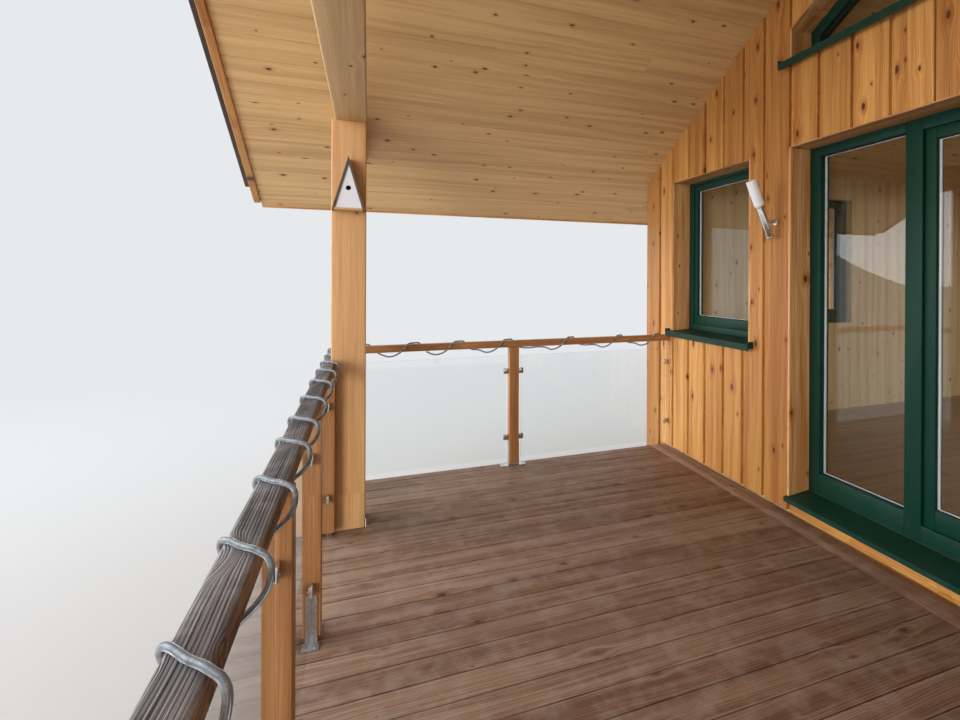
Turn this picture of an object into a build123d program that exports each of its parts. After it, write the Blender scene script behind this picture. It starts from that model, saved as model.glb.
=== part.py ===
from build123d import *
from math import cos, radians, sin, sqrt, tan
import os

# A timber chalet with a roofed terrace in front of its gable wall.
# Millimetres. The ground is Z = 0, the terrace looks along -Y and the ridge runs along Y.
# The origin is on the ground under the middle of the roof. Places on the terrace are given
# as distances in front of the front wall's face.

# Heights above the ground
deck_height = 600
floor_step = 130
plinth_height = 480

# House body
house_width = 6850
house_length = 7000
wall_thick = 325
cladding_thick = 25
cladding_drop = 40
front_cladding_lift = 12
plinth_thick = 380
plinth_setback = 40

# Roof
roof_angle = 26.6
wall_over_head = 87
eave_overhang = 660
front_overhang = 3505
back_overhang = 600
roof_thick = 180
covering_thick = 40
covering_overhang = 45
barge_thick = 50
barge_drop = 25
verge_thick = 35
verge_drop = 5
verge_end_gap = 250
eave_board_thick = 25
eave_board_drop = 15
ridge_cap_reach = 170
ridge_cap_thick = 8

# Terrace deck
deck_width = 6080
deck_depth = 2960
deck_board_thick = 28
border_width = 155
joist_width = 60
joist_height = 140
joist_count = 7
joist_first = 100
joist_last_inset = 360
bearer_size = 160
bearer_setback = 25
pier_size = 300
pier_inset = 400

# Roof posts and tie beam. Insets are measured from the deck's edges.
post_size = 200
post_side_inset = 800
post_front_inset = 215
post_gap = 4
tie_beam_height = 240
tie_beam_thick = 180
tie_beam_over_head = 100

# Railing, heights above the deck
rail_front_inset = 103
rail_side_inset = 65
rail_top = 1058
handrail_width = 70
handrail_height = 55
rail_post_size = 80
rail_middle_post_x = (-1010, 0, 1010)
rail_side_post_back = 1495
rail_post_lift = 25
rail_glass_thick = 8
rail_glass_bottom = 60
rail_glass_top = 930
rail_glass_gap = 25
foot_plate_thick = 5
foot_plate_width = 55
foot_plate_height = 205
foot_base_width = 76
foot_base_reach = 65
foot_blade_thick = 8
foot_blade_width = 60
clamp_size = 45
clamp_thick = 26
clamp_heights = (240, 800)

# Rope light wound round the handrails. Each turn has the place where it crosses over the rail
# and the place where it crosses back under it, the side rails' measured from the wall.
rope_radius = 6.5
rope_side = 13
rope_corner_side = 20
rope_rest_gap = 0.2
rope_edge_out = 11
rope_edge_up = 13
rope_bulge = 46
rope_bulge_drop = 24
rope_hang = 40
rope_under = 34
rope_run = 70
rope_bend = 36
rope_right_turns = (
    (140, 320), (520, 700), (900, 1080), (1300, 1640), (1810, 1990), (2190, 2360), (2540, 2700)
)
rope_front_turns = (
    (2860, 2670), (1950, 1780), (1620, 1450), (1310, 1140), (814, 640), (474, 270), (65, -130),
    (-325, -490), (-650, -840), (-1074, -1250), (-1430, -1610), (-1800, -1970), (-2480, -2640),
)
rope_corner_over = -2830
rope_left_turns = (
    (2360, 2190), (1990, 1810), (1640, 1330), (1080, 900), (700, 520), (340, 170)
)

# Openings in the walls, heights above the deck
lining_thick = 20
reveal_depth = 175
door_half_width = 1275
head_height = 2470
window_width = 1142
window_height = 1370
window_x = 2305
side_window_spacing = 3300
frame_depth = 90
pane_thick = 24
pane_setback = 35

# Window frame faces as seen from outside
window_frame_side = 68
window_frame_head = 10
window_frame_bottom = 66
sash_face = 80
sash_setback = 12

# Terrace door: a leaf in the middle and a fixed light on each side of it
door_stile = 117
door_mullion_x = 465
door_mullion_half = 54
door_fixed_bottom = 270
door_fixed_head = 70
leaf_bottom = 228
leaf_head = 56
leaf_stile = 90
leaf_bottom_rail = 107
leaf_top_rail = 70
leaf_thick = 70
leaf_overlap = 7
leaf_clearance = 5
leaf_free_clearance = 10
stop_lip_depth = 15
hinge_radius = 9
hinge_pin_radius = 5
hinge_play = 0.3
hinge_length = 90
hinge_inset = 223
hinge_plate_thick = 3
hinge_plate_width = 30

# Sheet metal sills
sheet_thick = 4
threshold_reach = 30
threshold_fall = 22
threshold_lip = 30
sill_rise = 16
sill_reach = 50
sill_lip = 48
sill_side = 60
gable_sill_side = 75

# Gable window
gable_half_width = 1270
gable_sill_over_head = 595
gable_jamb_height = 220
gable_frame_face = 75

# Wall lamp, under the level of the door head, and nest box, under the tie beam
lamp_x = -1415
lamp_lean = 24
lamp_foot_out = 50
lamp_foot_drop = 592
lamp_tube_length = 235
lamp_tube_radius = 27
lamp_diffuser_length = 185
lamp_diffuser_radius = 37
lamp_arm_over_foot = 112
lamp_arm_radius = 12
lamp_rose_radius = 40
lamp_rose_thick = 12
nest_width = 185
nest_height = 330
nest_depth = 120
nest_board = 12
nest_drop = 572
nest_hole_radius = 15
nest_hole_height = 135

# Places worked out from the sizes above
slope = tan(radians(roof_angle))
roof_rise = roof_thick / cos(radians(roof_angle))
covering_rise = covering_thick / cos(radians(roof_angle))
ceiling_at_wall = head_height + wall_over_head
roof_length = front_overhang + house_length + back_overhang
roof_front = -roof_length / 2
roof_back = roof_length / 2
front_y = roof_front + front_overhang
back_y = front_y + house_length
side_x = house_width / 2
core_x = side_x - cladding_thick
inner_x = core_x - wall_thick
core_front = front_y + cladding_thick
core_back = back_y - cladding_thick
inner_front = core_front + wall_thick
inner_back = core_back - wall_thick
eave_x = side_x + eave_overhang
floor_top = deck_height + floor_step
head_z = deck_height + head_height
split_z = head_z + lining_thick
hole_half_door = door_half_width + lining_thick
frame_front = front_y + reveal_depth
frame_back = frame_front + frame_depth
window_bottom = head_height - window_height
hole_width = window_width + 2 * lining_thick
hole_height = window_height + lining_thick
deck_front = front_y - deck_depth
deck_side = deck_width / 2
post_x = deck_side - post_side_inset
post_y = deck_front + post_front_inset
tie_beam_bottom = head_height + tie_beam_over_head
rail_y = deck_front + rail_front_inset
rail_side_x = deck_side - rail_side_inset
rail_under = deck_height + rail_top - handrail_height
gable_sill = head_height + gable_sill_over_head
gable_jamb_top = gable_sill + gable_jamb_height
joist_top = deck_height - deck_board_thick
bearer_top = joist_top - joist_height
plinth_inside = house_width - 2 * plinth_setback - 2 * plinth_thick


def ceiling_z(x):
    """Height of the roof's underside at a distance x from the ridge line."""
    return deck_height + ceiling_at_wall + (side_x - abs(x)) * slope


def wall_plane(x, y, z, side):
    """A plane on a wall's outer face, its local x along the wall, y up and z outwards."""
    outward = {"front": (0, -1, 0), "back": (0, 1, 0), "left": (-1, 0, 0), "right": (1, 0, 0)}[side]
    along = {"front": (1, 0, 0), "back": (-1, 0, 0), "left": (0, -1, 0), "right": (0, 1, 0)}[side]
    return Plane(origin=(x, y, z), x_dir=along, z_dir=outward)


def moved(planes, distance):
    """The same planes, each moved outwards by a distance."""
    return [plane.offset(distance) for plane in planes]


def write(builder, name):
    """Labels a finished piece and writes it to its own STEP file."""
    builder.part.label = name
    export_step(builder.part, "parts/" + name + ".step")


os.makedirs("parts", exist_ok=True)

# Planes of the windows, each on its wall's outer face with its origin at the middle of the sill
window_z = deck_height + window_bottom
house_middle = (front_y + back_y) / 2
side_window_y = (house_middle - side_window_spacing / 2, house_middle + side_window_spacing / 2)
front_windows = [wall_plane(x, front_y, window_z, "front") for x in (-window_x, window_x)]
back_windows = [wall_plane(x, back_y, window_z, "back") for x in (-window_x, window_x)]
left_windows = [wall_plane(-side_x, y, window_z, "left") for y in side_window_y]
right_windows = [wall_plane(side_x, y, window_z, "right") for y in side_window_y]
all_windows = front_windows + back_windows + left_windows + right_windows
front_gable = wall_plane(0, front_y, deck_height, "front")
back_gable = wall_plane(0, back_y, deck_height, "back")
low_edge = (Align.CENTER, Align.MIN)
high_edge = (Align.CENTER, Align.MAX)


def gable_window_points(spare):
    """Corners of the gable window's reveal, moved outwards by a spare width except at the sill."""
    side = gable_half_width + spare
    jamb = gable_jamb_top + spare * (1 / cos(radians(roof_angle)) - slope)
    peak = jamb + side * slope
    return [(-side, gable_sill), (side, gable_sill), (side, jamb), (0, peak), (-side, jamb)]


def gable_wall_points(half, bottom):
    """Corners of a gable wall from a level bottom up to the underside of the roof."""
    return [
        (-half, bottom),
        (half, bottom),
        (half, ceiling_z(half)),
        (0, ceiling_z(0)),
        (-half, ceiling_z(half)),
    ]


def chevron_points(reach, under, over):
    """Corners of a band along both slopes, between two heights above the roof's underside."""
    return [
        (-reach, ceiling_z(reach) + under),
        (0, ceiling_z(0) + under),
        (reach, ceiling_z(reach) + under),
        (reach, ceiling_z(reach) + over),
        (0, ceiling_z(0) + over),
        (-reach, ceiling_z(reach) + over),
    ]


# Plinth walls under the house
with BuildPart() as plinth_side_walls:
    with BuildSketch(Plane.XY):
        with Locations((-side_x + plinth_setback, house_middle)):
            Rectangle(plinth_thick, house_length - 2 * plinth_setback, align=(Align.MIN, Align.CENTER))
        with Locations((side_x - plinth_setback, house_middle)):
            Rectangle(plinth_thick, house_length - 2 * plinth_setback, align=(Align.MAX, Align.CENTER))
    extrude(amount=plinth_height)
write(plinth_side_walls, "plinth_side_walls")

with BuildPart() as plinth_end_walls:
    with BuildSketch(Plane.XY):
        with Locations((0, front_y + plinth_setback)):
            Rectangle(plinth_inside, plinth_thick, align=low_edge)
        with Locations((0, back_y - plinth_setback)):
            Rectangle(plinth_inside, plinth_thick, align=high_edge)
    extrude(amount=plinth_height)
write(plinth_end_walls, "plinth_end_walls")

# House floor between the walls, resting on the plinth
with BuildPart() as house_floor:
    with BuildSketch(Plane.XY.offset(plinth_height)):
        with Locations((0, house_middle)):
            Rectangle(2 * inner_x, inner_back - inner_front)
    extrude(amount=floor_top - plinth_height)
write(house_floor, "house_floor")

# Terrace substructure: piers, bearers that run out from the plinth, joists across them
bearer_front = deck_front + bearer_setback
bearer_back = front_y + plinth_setback
bearer_x = (-post_x, 0, post_x)
with BuildPart() as deck_piers:
    with BuildSketch(Plane.XY):
        with Locations([(x, y) for x in bearer_x for y in (post_y, front_y - pier_inset)]):
            Rectangle(pier_size, pier_size)
    extrude(amount=bearer_top - bearer_size)
write(deck_piers, "deck_piers")

with BuildPart() as deck_bearers:
    with BuildSketch(Plane.XY.offset(bearer_top)):
        with Locations([(x, (bearer_front + bearer_back) / 2) for x in bearer_x]):
            Rectangle(bearer_size, bearer_back - bearer_front)
    extrude(amount=-bearer_size)
write(deck_bearers, "deck_bearers")

joist_step = (deck_depth - joist_last_inset - joist_first) / (joist_count - 1)
joist_places = [front_y - joist_first - i * joist_step for i in range(joist_count)]
with BuildPart() as deck_joists:
    with BuildSketch(Plane.XY.offset(joist_top)):
        with Locations([(0, y) for y in joist_places]):
            Rectangle(deck_width, joist_width)
        with Locations((0, deck_front)):
            Rectangle(deck_width, joist_width, align=low_edge)
    extrude(amount=-joist_height)
write(deck_joists, "deck_joists")

# Deck boards as one sheet with a notch for each roof post, and the board along the wall
with BuildPart() as deck_floor:
    with BuildSketch(Plane.XY.offset(deck_height)):
        with Locations((0, deck_front)):
            Rectangle(deck_width, deck_depth - border_width, align=low_edge)
        with Locations((-post_x, post_y), (post_x, post_y)):
            Rectangle(post_size + 2 * post_gap, post_size + 2 * post_gap, mode=Mode.SUBTRACT)
    extrude(amount=-deck_board_thick)
write(deck_floor, "deck_floor")

with BuildPart() as deck_border_board:
    with BuildSketch(Plane.XY.offset(deck_height)):
        with Locations((0, front_y)):
            Rectangle(deck_width, border_width, align=high_edge)
    extrude(amount=-deck_board_thick)
write(deck_border_board, "deck_border_board")


# Front wall, split beside the door, under it and over it
def front_wall_side(sign, window):
    """One side of the front wall up to the head of the door, with its window notched in."""
    with BuildPart() as wall:
        with BuildSketch(Plane.XY.offset(plinth_height)):
            with Locations((sign * (core_x + hole_half_door) / 2, core_front)):
                Rectangle(core_x - hole_half_door, wall_thick, align=low_edge)
        extrude(amount=split_z - plinth_height)
        with BuildSketch(window):
            Rectangle(hole_width, hole_height, align=low_edge)
        extrude(amount=-cladding_thick - wall_thick, mode=Mode.SUBTRACT)
    return wall


write(front_wall_side(-1, front_windows[0]), "front_wall_left")
write(front_wall_side(1, front_windows[1]), "front_wall_right")

# The sill beam's top falls away in front of the door frame, under the sheet metal threshold
threshold_top = floor_top
threshold_run = reveal_depth + threshold_reach
threshold_slope = threshold_fall / threshold_run
threshold_under = threshold_top - sheet_thick
with BuildPart() as front_wall_sill:
    with BuildSketch(Plane.YZ.offset(-hole_half_door)):
        Polygon(
            (core_front, plinth_height),
            (inner_front, plinth_height),
            (inner_front, floor_top),
            (frame_front, floor_top),
            (frame_front, threshold_under),
            (core_front, threshold_under - (reveal_depth - cladding_thick) * threshold_slope),
        )
    extrude(amount=2 * hole_half_door)
write(front_wall_sill, "front_wall_sill")

with BuildPart() as front_gable_wall:
    with BuildSketch(Plane.XZ.offset(-core_front)):
        Polygon(*gable_wall_points(core_x, split_z))
    extrude(amount=-wall_thick)
    with BuildSketch(front_gable):
        Polygon(*gable_window_points(lining_thick))
    extrude(amount=-cladding_thick - wall_thick, mode=Mode.SUBTRACT)
write(front_gable_wall, "front_gable_wall")

# Back wall, one piece up to the ridge
with BuildPart() as back_wall:
    with BuildSketch(Plane.XZ.offset(-inner_back)):
        Polygon(*gable_wall_points(core_x, plinth_height))
    extrude(amount=-wall_thick)
    with BuildSketch(*back_windows):
        Rectangle(hole_width, hole_height, align=low_edge)
    extrude(amount=-cladding_thick - wall_thick, mode=Mode.SUBTRACT)
    with BuildSketch(back_gable):
        Polygon(*gable_window_points(lining_thick))
    extrude(amount=-cladding_thick - wall_thick, mode=Mode.SUBTRACT)
write(back_wall, "back_wall")


# Side walls between the front and back walls, their tops cut to the roof's slope
def side_wall(sign, windows):
    """A side wall with its windows."""
    with BuildPart() as wall:
        with BuildSketch(Plane.XZ.offset(-inner_front)):
            Polygon(
                (sign * core_x, plinth_height),
                (sign * inner_x, plinth_height),
                (sign * inner_x, ceiling_z(inner_x)),
                (sign * core_x, ceiling_z(core_x)),
            )
        extrude(amount=inner_front - inner_back)
        with BuildSketch(*windows):
            Rectangle(hole_width, hole_height, align=low_edge)
        extrude(amount=-cladding_thick - wall_thick, mode=Mode.SUBTRACT)
    return wall


write(side_wall(-1, left_windows), "left_wall")
write(side_wall(1, right_windows), "right_wall")

# Cladding skins with the same openings. The front one stops just above the deck.
threshold_under_face = threshold_under - reveal_depth * threshold_slope
with BuildPart() as front_cladding:
    with BuildSketch(Plane.XZ.offset(-front_y)):
        Polygon(*gable_wall_points(side_x, deck_height + front_cladding_lift))
        with Locations((0, threshold_under_face)):
            Rectangle(
                2 * hole_half_door,
                split_z - threshold_under_face,
                align=low_edge,
                mode=Mode.SUBTRACT,
            )
    extrude(amount=-cladding_thick)
    with BuildSketch(*front_windows):
        Rectangle(hole_width, hole_height, align=low_edge)
    extrude(amount=-cladding_thick, mode=Mode.SUBTRACT)
    with BuildSketch(front_gable):
        Polygon(*gable_window_points(lining_thick))
    extrude(amount=-cladding_thick, mode=Mode.SUBTRACT)
write(front_cladding, "front_cladding")

with BuildPart() as back_cladding:
    with BuildSketch(Plane.XZ.offset(-core_back)):
        Polygon(*gable_wall_points(side_x, plinth_height - cladding_drop))
    extrude(amount=-cladding_thick)
    with BuildSketch(*back_windows):
        Rectangle(hole_width, hole_height, align=low_edge)
    extrude(amount=-cladding_thick, mode=Mode.SUBTRACT)
    with BuildSketch(back_gable):
        Polygon(*gable_window_points(lining_thick))
    extrude(amount=-cladding_thick, mode=Mode.SUBTRACT)
write(back_cladding, "back_cladding")

with BuildPart() as side_cladding:
    with BuildSketch(Plane.XZ.offset(-core_front)):
        for sign in (-1, 1):
            Polygon(
                (sign * side_x, plinth_height - cladding_drop),
                (sign * core_x, plinth_height - cladding_drop),
                (sign * core_x, ceiling_z(core_x)),
                (sign * side_x, ceiling_z(side_x)),
            )
    extrude(amount=core_front - core_back)
    with BuildSketch(*(left_windows + right_windows)):
        Rectangle(hole_width, hole_height, align=low_edge)
    extrude(amount=-cladding_thick, mode=Mode.SUBTRACT)
write(side_cladding, "side_cladding")


# Roof: two thick timber panels that lean together over the walls
def roof_panel(sign):
    """One side of the roof, from the ridge to the eave."""
    with BuildPart() as panel:
        with BuildSketch(Plane.XZ.offset(-roof_front)):
            Polygon(
                (0, ceiling_z(0)),
                (sign * eave_x, ceiling_z(eave_x)),
                (sign * eave_x, ceiling_z(eave_x) + roof_rise),
                (0, ceiling_z(0) + roof_rise),
            )
        extrude(amount=-roof_length)
    return panel


write(roof_panel(-1), "roof_panel_left")
write(roof_panel(1), "roof_panel_right")

edge_y = barge_thick + verge_thick
covering_length = roof_length + 2 * edge_y + 2 * covering_overhang
covering_plane = Plane.XZ.offset(covering_length / 2)
covering_reach = eave_x + eave_board_thick + covering_overhang
with BuildPart() as roof_covering:
    with BuildSketch(covering_plane):
        Polygon(*chevron_points(covering_reach, roof_rise, roof_rise + covering_rise))
    extrude(amount=-covering_length)
write(roof_covering, "roof_covering")

cap_under = roof_rise + covering_rise
with BuildPart() as ridge_cap:
    with BuildSketch(covering_plane):
        Polygon(*chevron_points(ridge_cap_reach, cap_under, cap_under + ridge_cap_thick))
    extrude(amount=-covering_length)
write(ridge_cap, "ridge_cap")

# Edge boards: barge boards on both gables, darker verge boards outside them, eave boards
gable_faces = [wall_plane(0, roof_front, 0, "front"), wall_plane(0, roof_back, 0, "back")]
with BuildPart() as barge_boards:
    with BuildSketch(*gable_faces):
        Polygon(*chevron_points(eave_x + eave_board_thick, -barge_drop, roof_rise))
    extrude(amount=barge_thick)
write(barge_boards, "barge_boards")

with BuildPart() as verge_boards:
    with BuildSketch(*moved(gable_faces, barge_thick)):
        Polygon(*chevron_points(eave_x - verge_end_gap, -verge_drop, roof_rise))
    extrude(amount=verge_thick)
write(verge_boards, "verge_boards")

eave_board_x = eave_x + eave_board_thick
with BuildPart() as eave_boards:
    with BuildSketch(Plane.XZ.offset(-roof_front)):
        for sign in (-1, 1):
            Polygon(
                (sign * eave_x, ceiling_z(eave_x) - eave_board_drop),
                (sign * eave_board_x, ceiling_z(eave_x) - eave_board_drop),
                (sign * eave_board_x, ceiling_z(eave_board_x) + roof_rise),
                (sign * eave_x, ceiling_z(eave_x) + roof_rise),
            )
    extrude(amount=-roof_length)
write(eave_boards, "eave_boards")

# Roof posts stand on the bearers and are notched for the handrail
with BuildPart() as main_posts:
    with BuildSketch(Plane.XY.offset(bearer_top)):
        with Locations((-post_x, post_y), (post_x, post_y)):
            Rectangle(post_size, post_size)
    extrude(amount=deck_height + tie_beam_bottom - bearer_top)
    with BuildSketch(Plane.XY.offset(rail_under)):
        with Locations((-post_x, rail_y), (post_x, rail_y)):
            Rectangle(post_size, handrail_width)
    extrude(amount=handrail_height, mode=Mode.SUBTRACT)
write(main_posts, "main_posts")

# The tie beam's ends are cut to the roof's slope, its inner face is flush with the posts
beam_bottom = deck_height + tie_beam_bottom
beam_top = beam_bottom + tie_beam_height
beam_long = (ceiling_z(0) - beam_bottom) / slope
beam_short = (ceiling_z(0) - beam_top) / slope
with BuildPart() as tie_beam:
    with BuildSketch(Plane.XZ.offset(-post_y - post_size / 2)):
        Polygon(
            (-beam_long, beam_bottom),
            (beam_long, beam_bottom),
            (beam_short, beam_top),
            (-beam_short, beam_top),
        )
    extrude(amount=tie_beam_thick)
write(tie_beam, "tie_beam")

# Railing posts at the corners, against both sides of each roof post and between them
side_post_y = front_y - rail_side_post_back
beside_post = (post_size + rail_post_size) / 2
near_x = post_x - beside_post
far_x = post_x + beside_post
corner_x = (-rail_side_x, rail_side_x)
front_post_x = (-rail_side_x, -far_x, -near_x, *rail_middle_post_x, near_x, far_x, rail_side_x)
front_posts = [Location((x, rail_y, deck_height)) for x in front_post_x]
side_posts = [Location((x, side_post_y, deck_height), (0, 0, 90)) for x in corner_x]
post_spots = front_posts + side_posts
with BuildPart() as rail_posts:
    with Locations(*[spot * Location((0, 0, rail_post_lift)) for spot in post_spots]):
        Box(
            rail_post_size,
            rail_post_size,
            rail_top - handrail_height - rail_post_lift,
            align=(Align.CENTER, Align.CENTER, Align.MIN),
        )
write(rail_posts, "rail_posts")

# Steel angles carry the free posts along the rail, and a blade those against a roof post
post_half = rail_post_size / 2
turns = {"+x": 0, "+y": 90, "-x": 180, "-y": -90}
angle_places = [(x, rail_y, side) for x in rail_middle_post_x for side in ("-x", "+x")]
angle_places += [(-rail_side_x, rail_y, "+x"), (rail_side_x, rail_y, "-x")]
angle_places += [(x, rail_y, "+y") for x in corner_x]
angle_places += [(x, side_post_y, side) for x in corner_x for side in ("-y", "+y")]
angle_spots = [
    Location((x, y, deck_height), (0, 0, turns[side])) * Location((post_half, 0, 0))
    for x, y, side in angle_places
]
blade_spots = [(x, rail_y, deck_height) for x in (-far_x, -near_x, near_x, far_x)]
from_corner = (Align.MIN, Align.CENTER, Align.MIN)
upwards = (Align.CENTER, Align.CENTER, Align.MIN)
with BuildPart() as rail_post_feet:
    with Locations(*angle_spots):
        Box(foot_plate_thick, foot_plate_width, foot_plate_height, align=from_corner)
        Box(foot_base_reach, foot_base_width, foot_plate_thick, align=from_corner)
    with Locations(*blade_spots):
        Box(foot_blade_width, foot_blade_thick, rail_post_lift, align=upwards)
        Box(foot_blade_width, foot_plate_width, foot_plate_thick, align=upwards)
write(rail_post_feet, "rail_post_feet")

# Handrails: the front one runs past both corners, the side ones run from it to the wall
handrail_end = rail_side_x + handrail_width / 2
with BuildPart() as handrail_front:
    with BuildSketch(Plane.XY.offset(rail_under)):
        with Locations((0, rail_y)):
            Rectangle(2 * handrail_end, handrail_width)
    extrude(amount=handrail_height)
write(handrail_front, "handrail_front")

with BuildPart() as handrails_side:
    with BuildSketch(Plane.XY.offset(rail_under)):
        with Locations((-rail_side_x, front_y), (rail_side_x, front_y)):
            Rectangle(handrail_width, front_y - rail_y - handrail_width / 2, align=high_edge)
    extrude(amount=handrail_height)
write(handrails_side, "handrails_side")

# A glass panel in each bay stops short of the posts, and clamps on the posts hold it
middle_x = (-near_x, *rail_middle_post_x, near_x)
front_bays = [(-rail_side_x, -far_x), *zip(middle_x[:-1], middle_x[1:]), (far_x, rail_side_x)]
side_bays = [(rail_y, side_post_y), (side_post_y, front_y + post_half)]
glass_short = rail_post_size + 2 * rail_glass_gap
with BuildPart() as rail_glass:
    with BuildSketch(Plane.XY.offset(deck_height + rail_glass_bottom)):
        for low, high in front_bays:
            with Locations(((low + high) / 2, rail_y)):
                Rectangle(high - low - glass_short, rail_glass_thick)
        for low, high in side_bays:
            with Locations([(x, (low + high) / 2) for x in corner_x]):
                Rectangle(rail_glass_thick, high - low - glass_short)
    extrude(amount=rail_glass_top - rail_glass_bottom)
write(rail_glass, "rail_glass")

clamp_spots = []
for height in clamp_heights:
    z = deck_height + height
    for low, high in front_bays:
        clamp_spots.append(Location((low + post_half, rail_y, z)))
        clamp_spots.append(Location((high - post_half, rail_y, z), (0, 0, 180)))
    for low, high in side_bays:
        for x in corner_x:
            clamp_spots.append(Location((x, low + post_half, z), (0, 0, 90)))
            clamp_spots.append(Location((x, high - post_half, z), (0, 0, -90)))
glass_edge_spots = [spot * Location((rail_glass_gap, 0, 0)) for spot in clamp_spots]
from_post = (Align.MIN, Align.CENTER, Align.CENTER)
with BuildPart() as glass_clamps:
    with Locations(*clamp_spots):
        Box(clamp_size, clamp_thick, clamp_size, align=from_post)
    with Locations(*glass_edge_spots):
        Box(clamp_size, rail_glass_thick, clamp_size, align=from_post, mode=Mode.SUBTRACT)
write(glass_clamps, "glass_clamps")

# Rope light, one tube from the wall along the right rail, the front rail and the left rail
rope_z = rail_under + handrail_height / 2
rope_out = handrail_width / 2 + rope_side
rope_in = handrail_width / 2 + rope_bulge
rope_on_top = handrail_height / 2 + rope_radius + rope_rest_gap
rope_over_edge = handrail_height / 2 + rope_edge_up
rope_down = handrail_height / 2 + rope_under
rope_low = handrail_height / 2 + rope_hang
rope_edge = handrail_width / 2 + rope_edge_out


def rope_point(rail, place, inwards, upwards_by):
    """A point beside a handrail: along it, towards the terrace from its middle, and up."""
    if rail == "front":
        return (place, rail_y + inwards, rope_z + upwards_by)
    side = 1 if rail == "right" else -1
    return (side * (rail_side_x - inwards), front_y - place, rope_z + upwards_by)


def rope_over_rail(rail, over, way):
    """The tube's way over a rail and down to the bulge on its inner side."""
    return [
        rope_point(rail, over, -rope_edge, rope_over_edge),
        rope_point(rail, over + way * rope_run / 4, 0, rope_on_top),
        rope_point(rail, over + way * rope_run / 2, rope_edge, rope_on_top),
        rope_point(rail, over + way * rope_run * 3 / 4, rope_in, 0),
        rope_point(rail, over + way * rope_run, rope_in, -rope_bulge_drop),
    ]


def rope_under_rail(rail, under, way):
    """The tube's way back under a rail to its outer side."""
    return [
        rope_point(rail, under - way * rope_run, rope_in * 2 / 3, -rope_low),
        rope_point(rail, under, 0, -rope_down),
        rope_point(rail, under + way * rope_run, -rope_out, -handrail_height / 2),
    ]


def rope_turns(rail, turns, way):
    """Whole turns round one rail, starting on its outer side."""
    points = []
    for over, under in turns:
        points += rope_over_rail(rail, over, way) + rope_under_rail(rail, under, way)
    return points


rope_points = [rope_point("right", rope_run, -rope_out, 0)]
rope_points += rope_turns("right", rope_right_turns, 1)
rope_corner = (handrail_end + rope_corner_side, -handrail_width / 2 - rope_corner_side, 0)
rope_points.append(rope_point("front", *rope_corner))
rope_points += rope_turns("front", rope_front_turns, -1)
rope_points += rope_over_rail("front", rope_corner_over, -1)
rope_points += rope_under_rail("left", rope_left_turns[0][0] + 2 * rope_run, -1)
rope_points += rope_turns("left", rope_left_turns, -1)
with BuildPart() as rope_light:
    with BuildLine() as rope_path:
        FilletPolyline(*rope_points, radius=rope_bend)
    with BuildSketch(Plane(origin=rope_path.line @ 0, z_dir=rope_path.line % 0)):
        Circle(rope_radius)
    sweep()
write(rope_light, "rope_light")

# Timber linings of the window and door reveals, open at the sill
with BuildPart() as window_linings:
    with BuildSketch(*all_windows):
        Rectangle(hole_width, hole_height, align=low_edge)
        Rectangle(window_width, window_height, align=low_edge, mode=Mode.SUBTRACT)
    extrude(amount=-reveal_depth)
    with BuildSketch(front_gable, back_gable):
        Polygon(*gable_window_points(lining_thick))
        Polygon(*gable_window_points(0), mode=Mode.SUBTRACT)
    extrude(amount=-reveal_depth)
write(window_linings, "window_linings")

# The door's lining stands on the sloping threshold
threshold_line = [
    (front_y - threshold_reach, threshold_top - threshold_fall),
    (frame_front, threshold_top),
]
with BuildPart() as door_lining:
    with BuildSketch(Plane.XZ.offset(-front_y)):
        with Locations((0, threshold_under_face)):
            Rectangle(2 * hole_half_door, split_z - threshold_under_face, align=low_edge)
            Rectangle(2 * door_half_width, head_z - threshold_under_face, align=low_edge, mode=Mode.SUBTRACT)
    extrude(amount=-reveal_depth)
    with BuildSketch(Plane.YZ):
        Polygon(
            *threshold_line,
            (frame_front, plinth_height),
            (front_y - threshold_reach, plinth_height),
        )
    extrude(amount=hole_half_door, both=True, mode=Mode.SUBTRACT)
write(door_lining, "door_lining")

# Windows: frame and sash as one ring with a step between them, and a pane in the sash
sash_half = window_width / 2 - window_frame_side
sash_height = window_height - window_frame_head - window_frame_bottom
light_width = 2 * (sash_half - sash_face)
light_height = sash_height - 2 * sash_face
sash_middle = (0, window_frame_bottom + sash_height / 2)
with BuildPart() as window_frames:
    with BuildSketch(*moved(all_windows, -reveal_depth)):
        Rectangle(hole_width, hole_height, align=low_edge)
        with Locations(sash_middle):
            Rectangle(2 * sash_half, sash_height, mode=Mode.SUBTRACT)
    extrude(amount=-frame_depth)
    with BuildSketch(*moved(all_windows, -reveal_depth - sash_setback)):
        with Locations(sash_middle):
            Rectangle(2 * sash_half, sash_height)
            Rectangle(light_width, light_height, mode=Mode.SUBTRACT)
    extrude(amount=sash_setback - frame_depth)
write(window_frames, "window_frames")

with BuildPart() as window_glass:
    with BuildSketch(*moved(all_windows, -reveal_depth - pane_setback)):
        with Locations(sash_middle):
            Rectangle(light_width, light_height)
    extrude(amount=-pane_thick)
write(window_glass, "window_glass")

gable_frame_planes = moved([front_gable, back_gable], -reveal_depth)
gable_light = [
    (x, max(z, gable_sill + gable_frame_face)) for x, z in gable_window_points(-gable_frame_face)
]
with BuildPart() as gable_window_frames:
    with BuildSketch(*gable_frame_planes):
        Polygon(*gable_window_points(lining_thick))
        Polygon(*gable_light, mode=Mode.SUBTRACT)
    extrude(amount=-frame_depth)
write(gable_window_frames, "gable_window_frames")

with BuildPart() as gable_window_glass:
    with BuildSketch(*moved(gable_frame_planes, -pane_setback)):
        Polygon(*gable_light)
    extrude(amount=-pane_thick)
write(gable_window_glass, "gable_window_glass")


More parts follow.
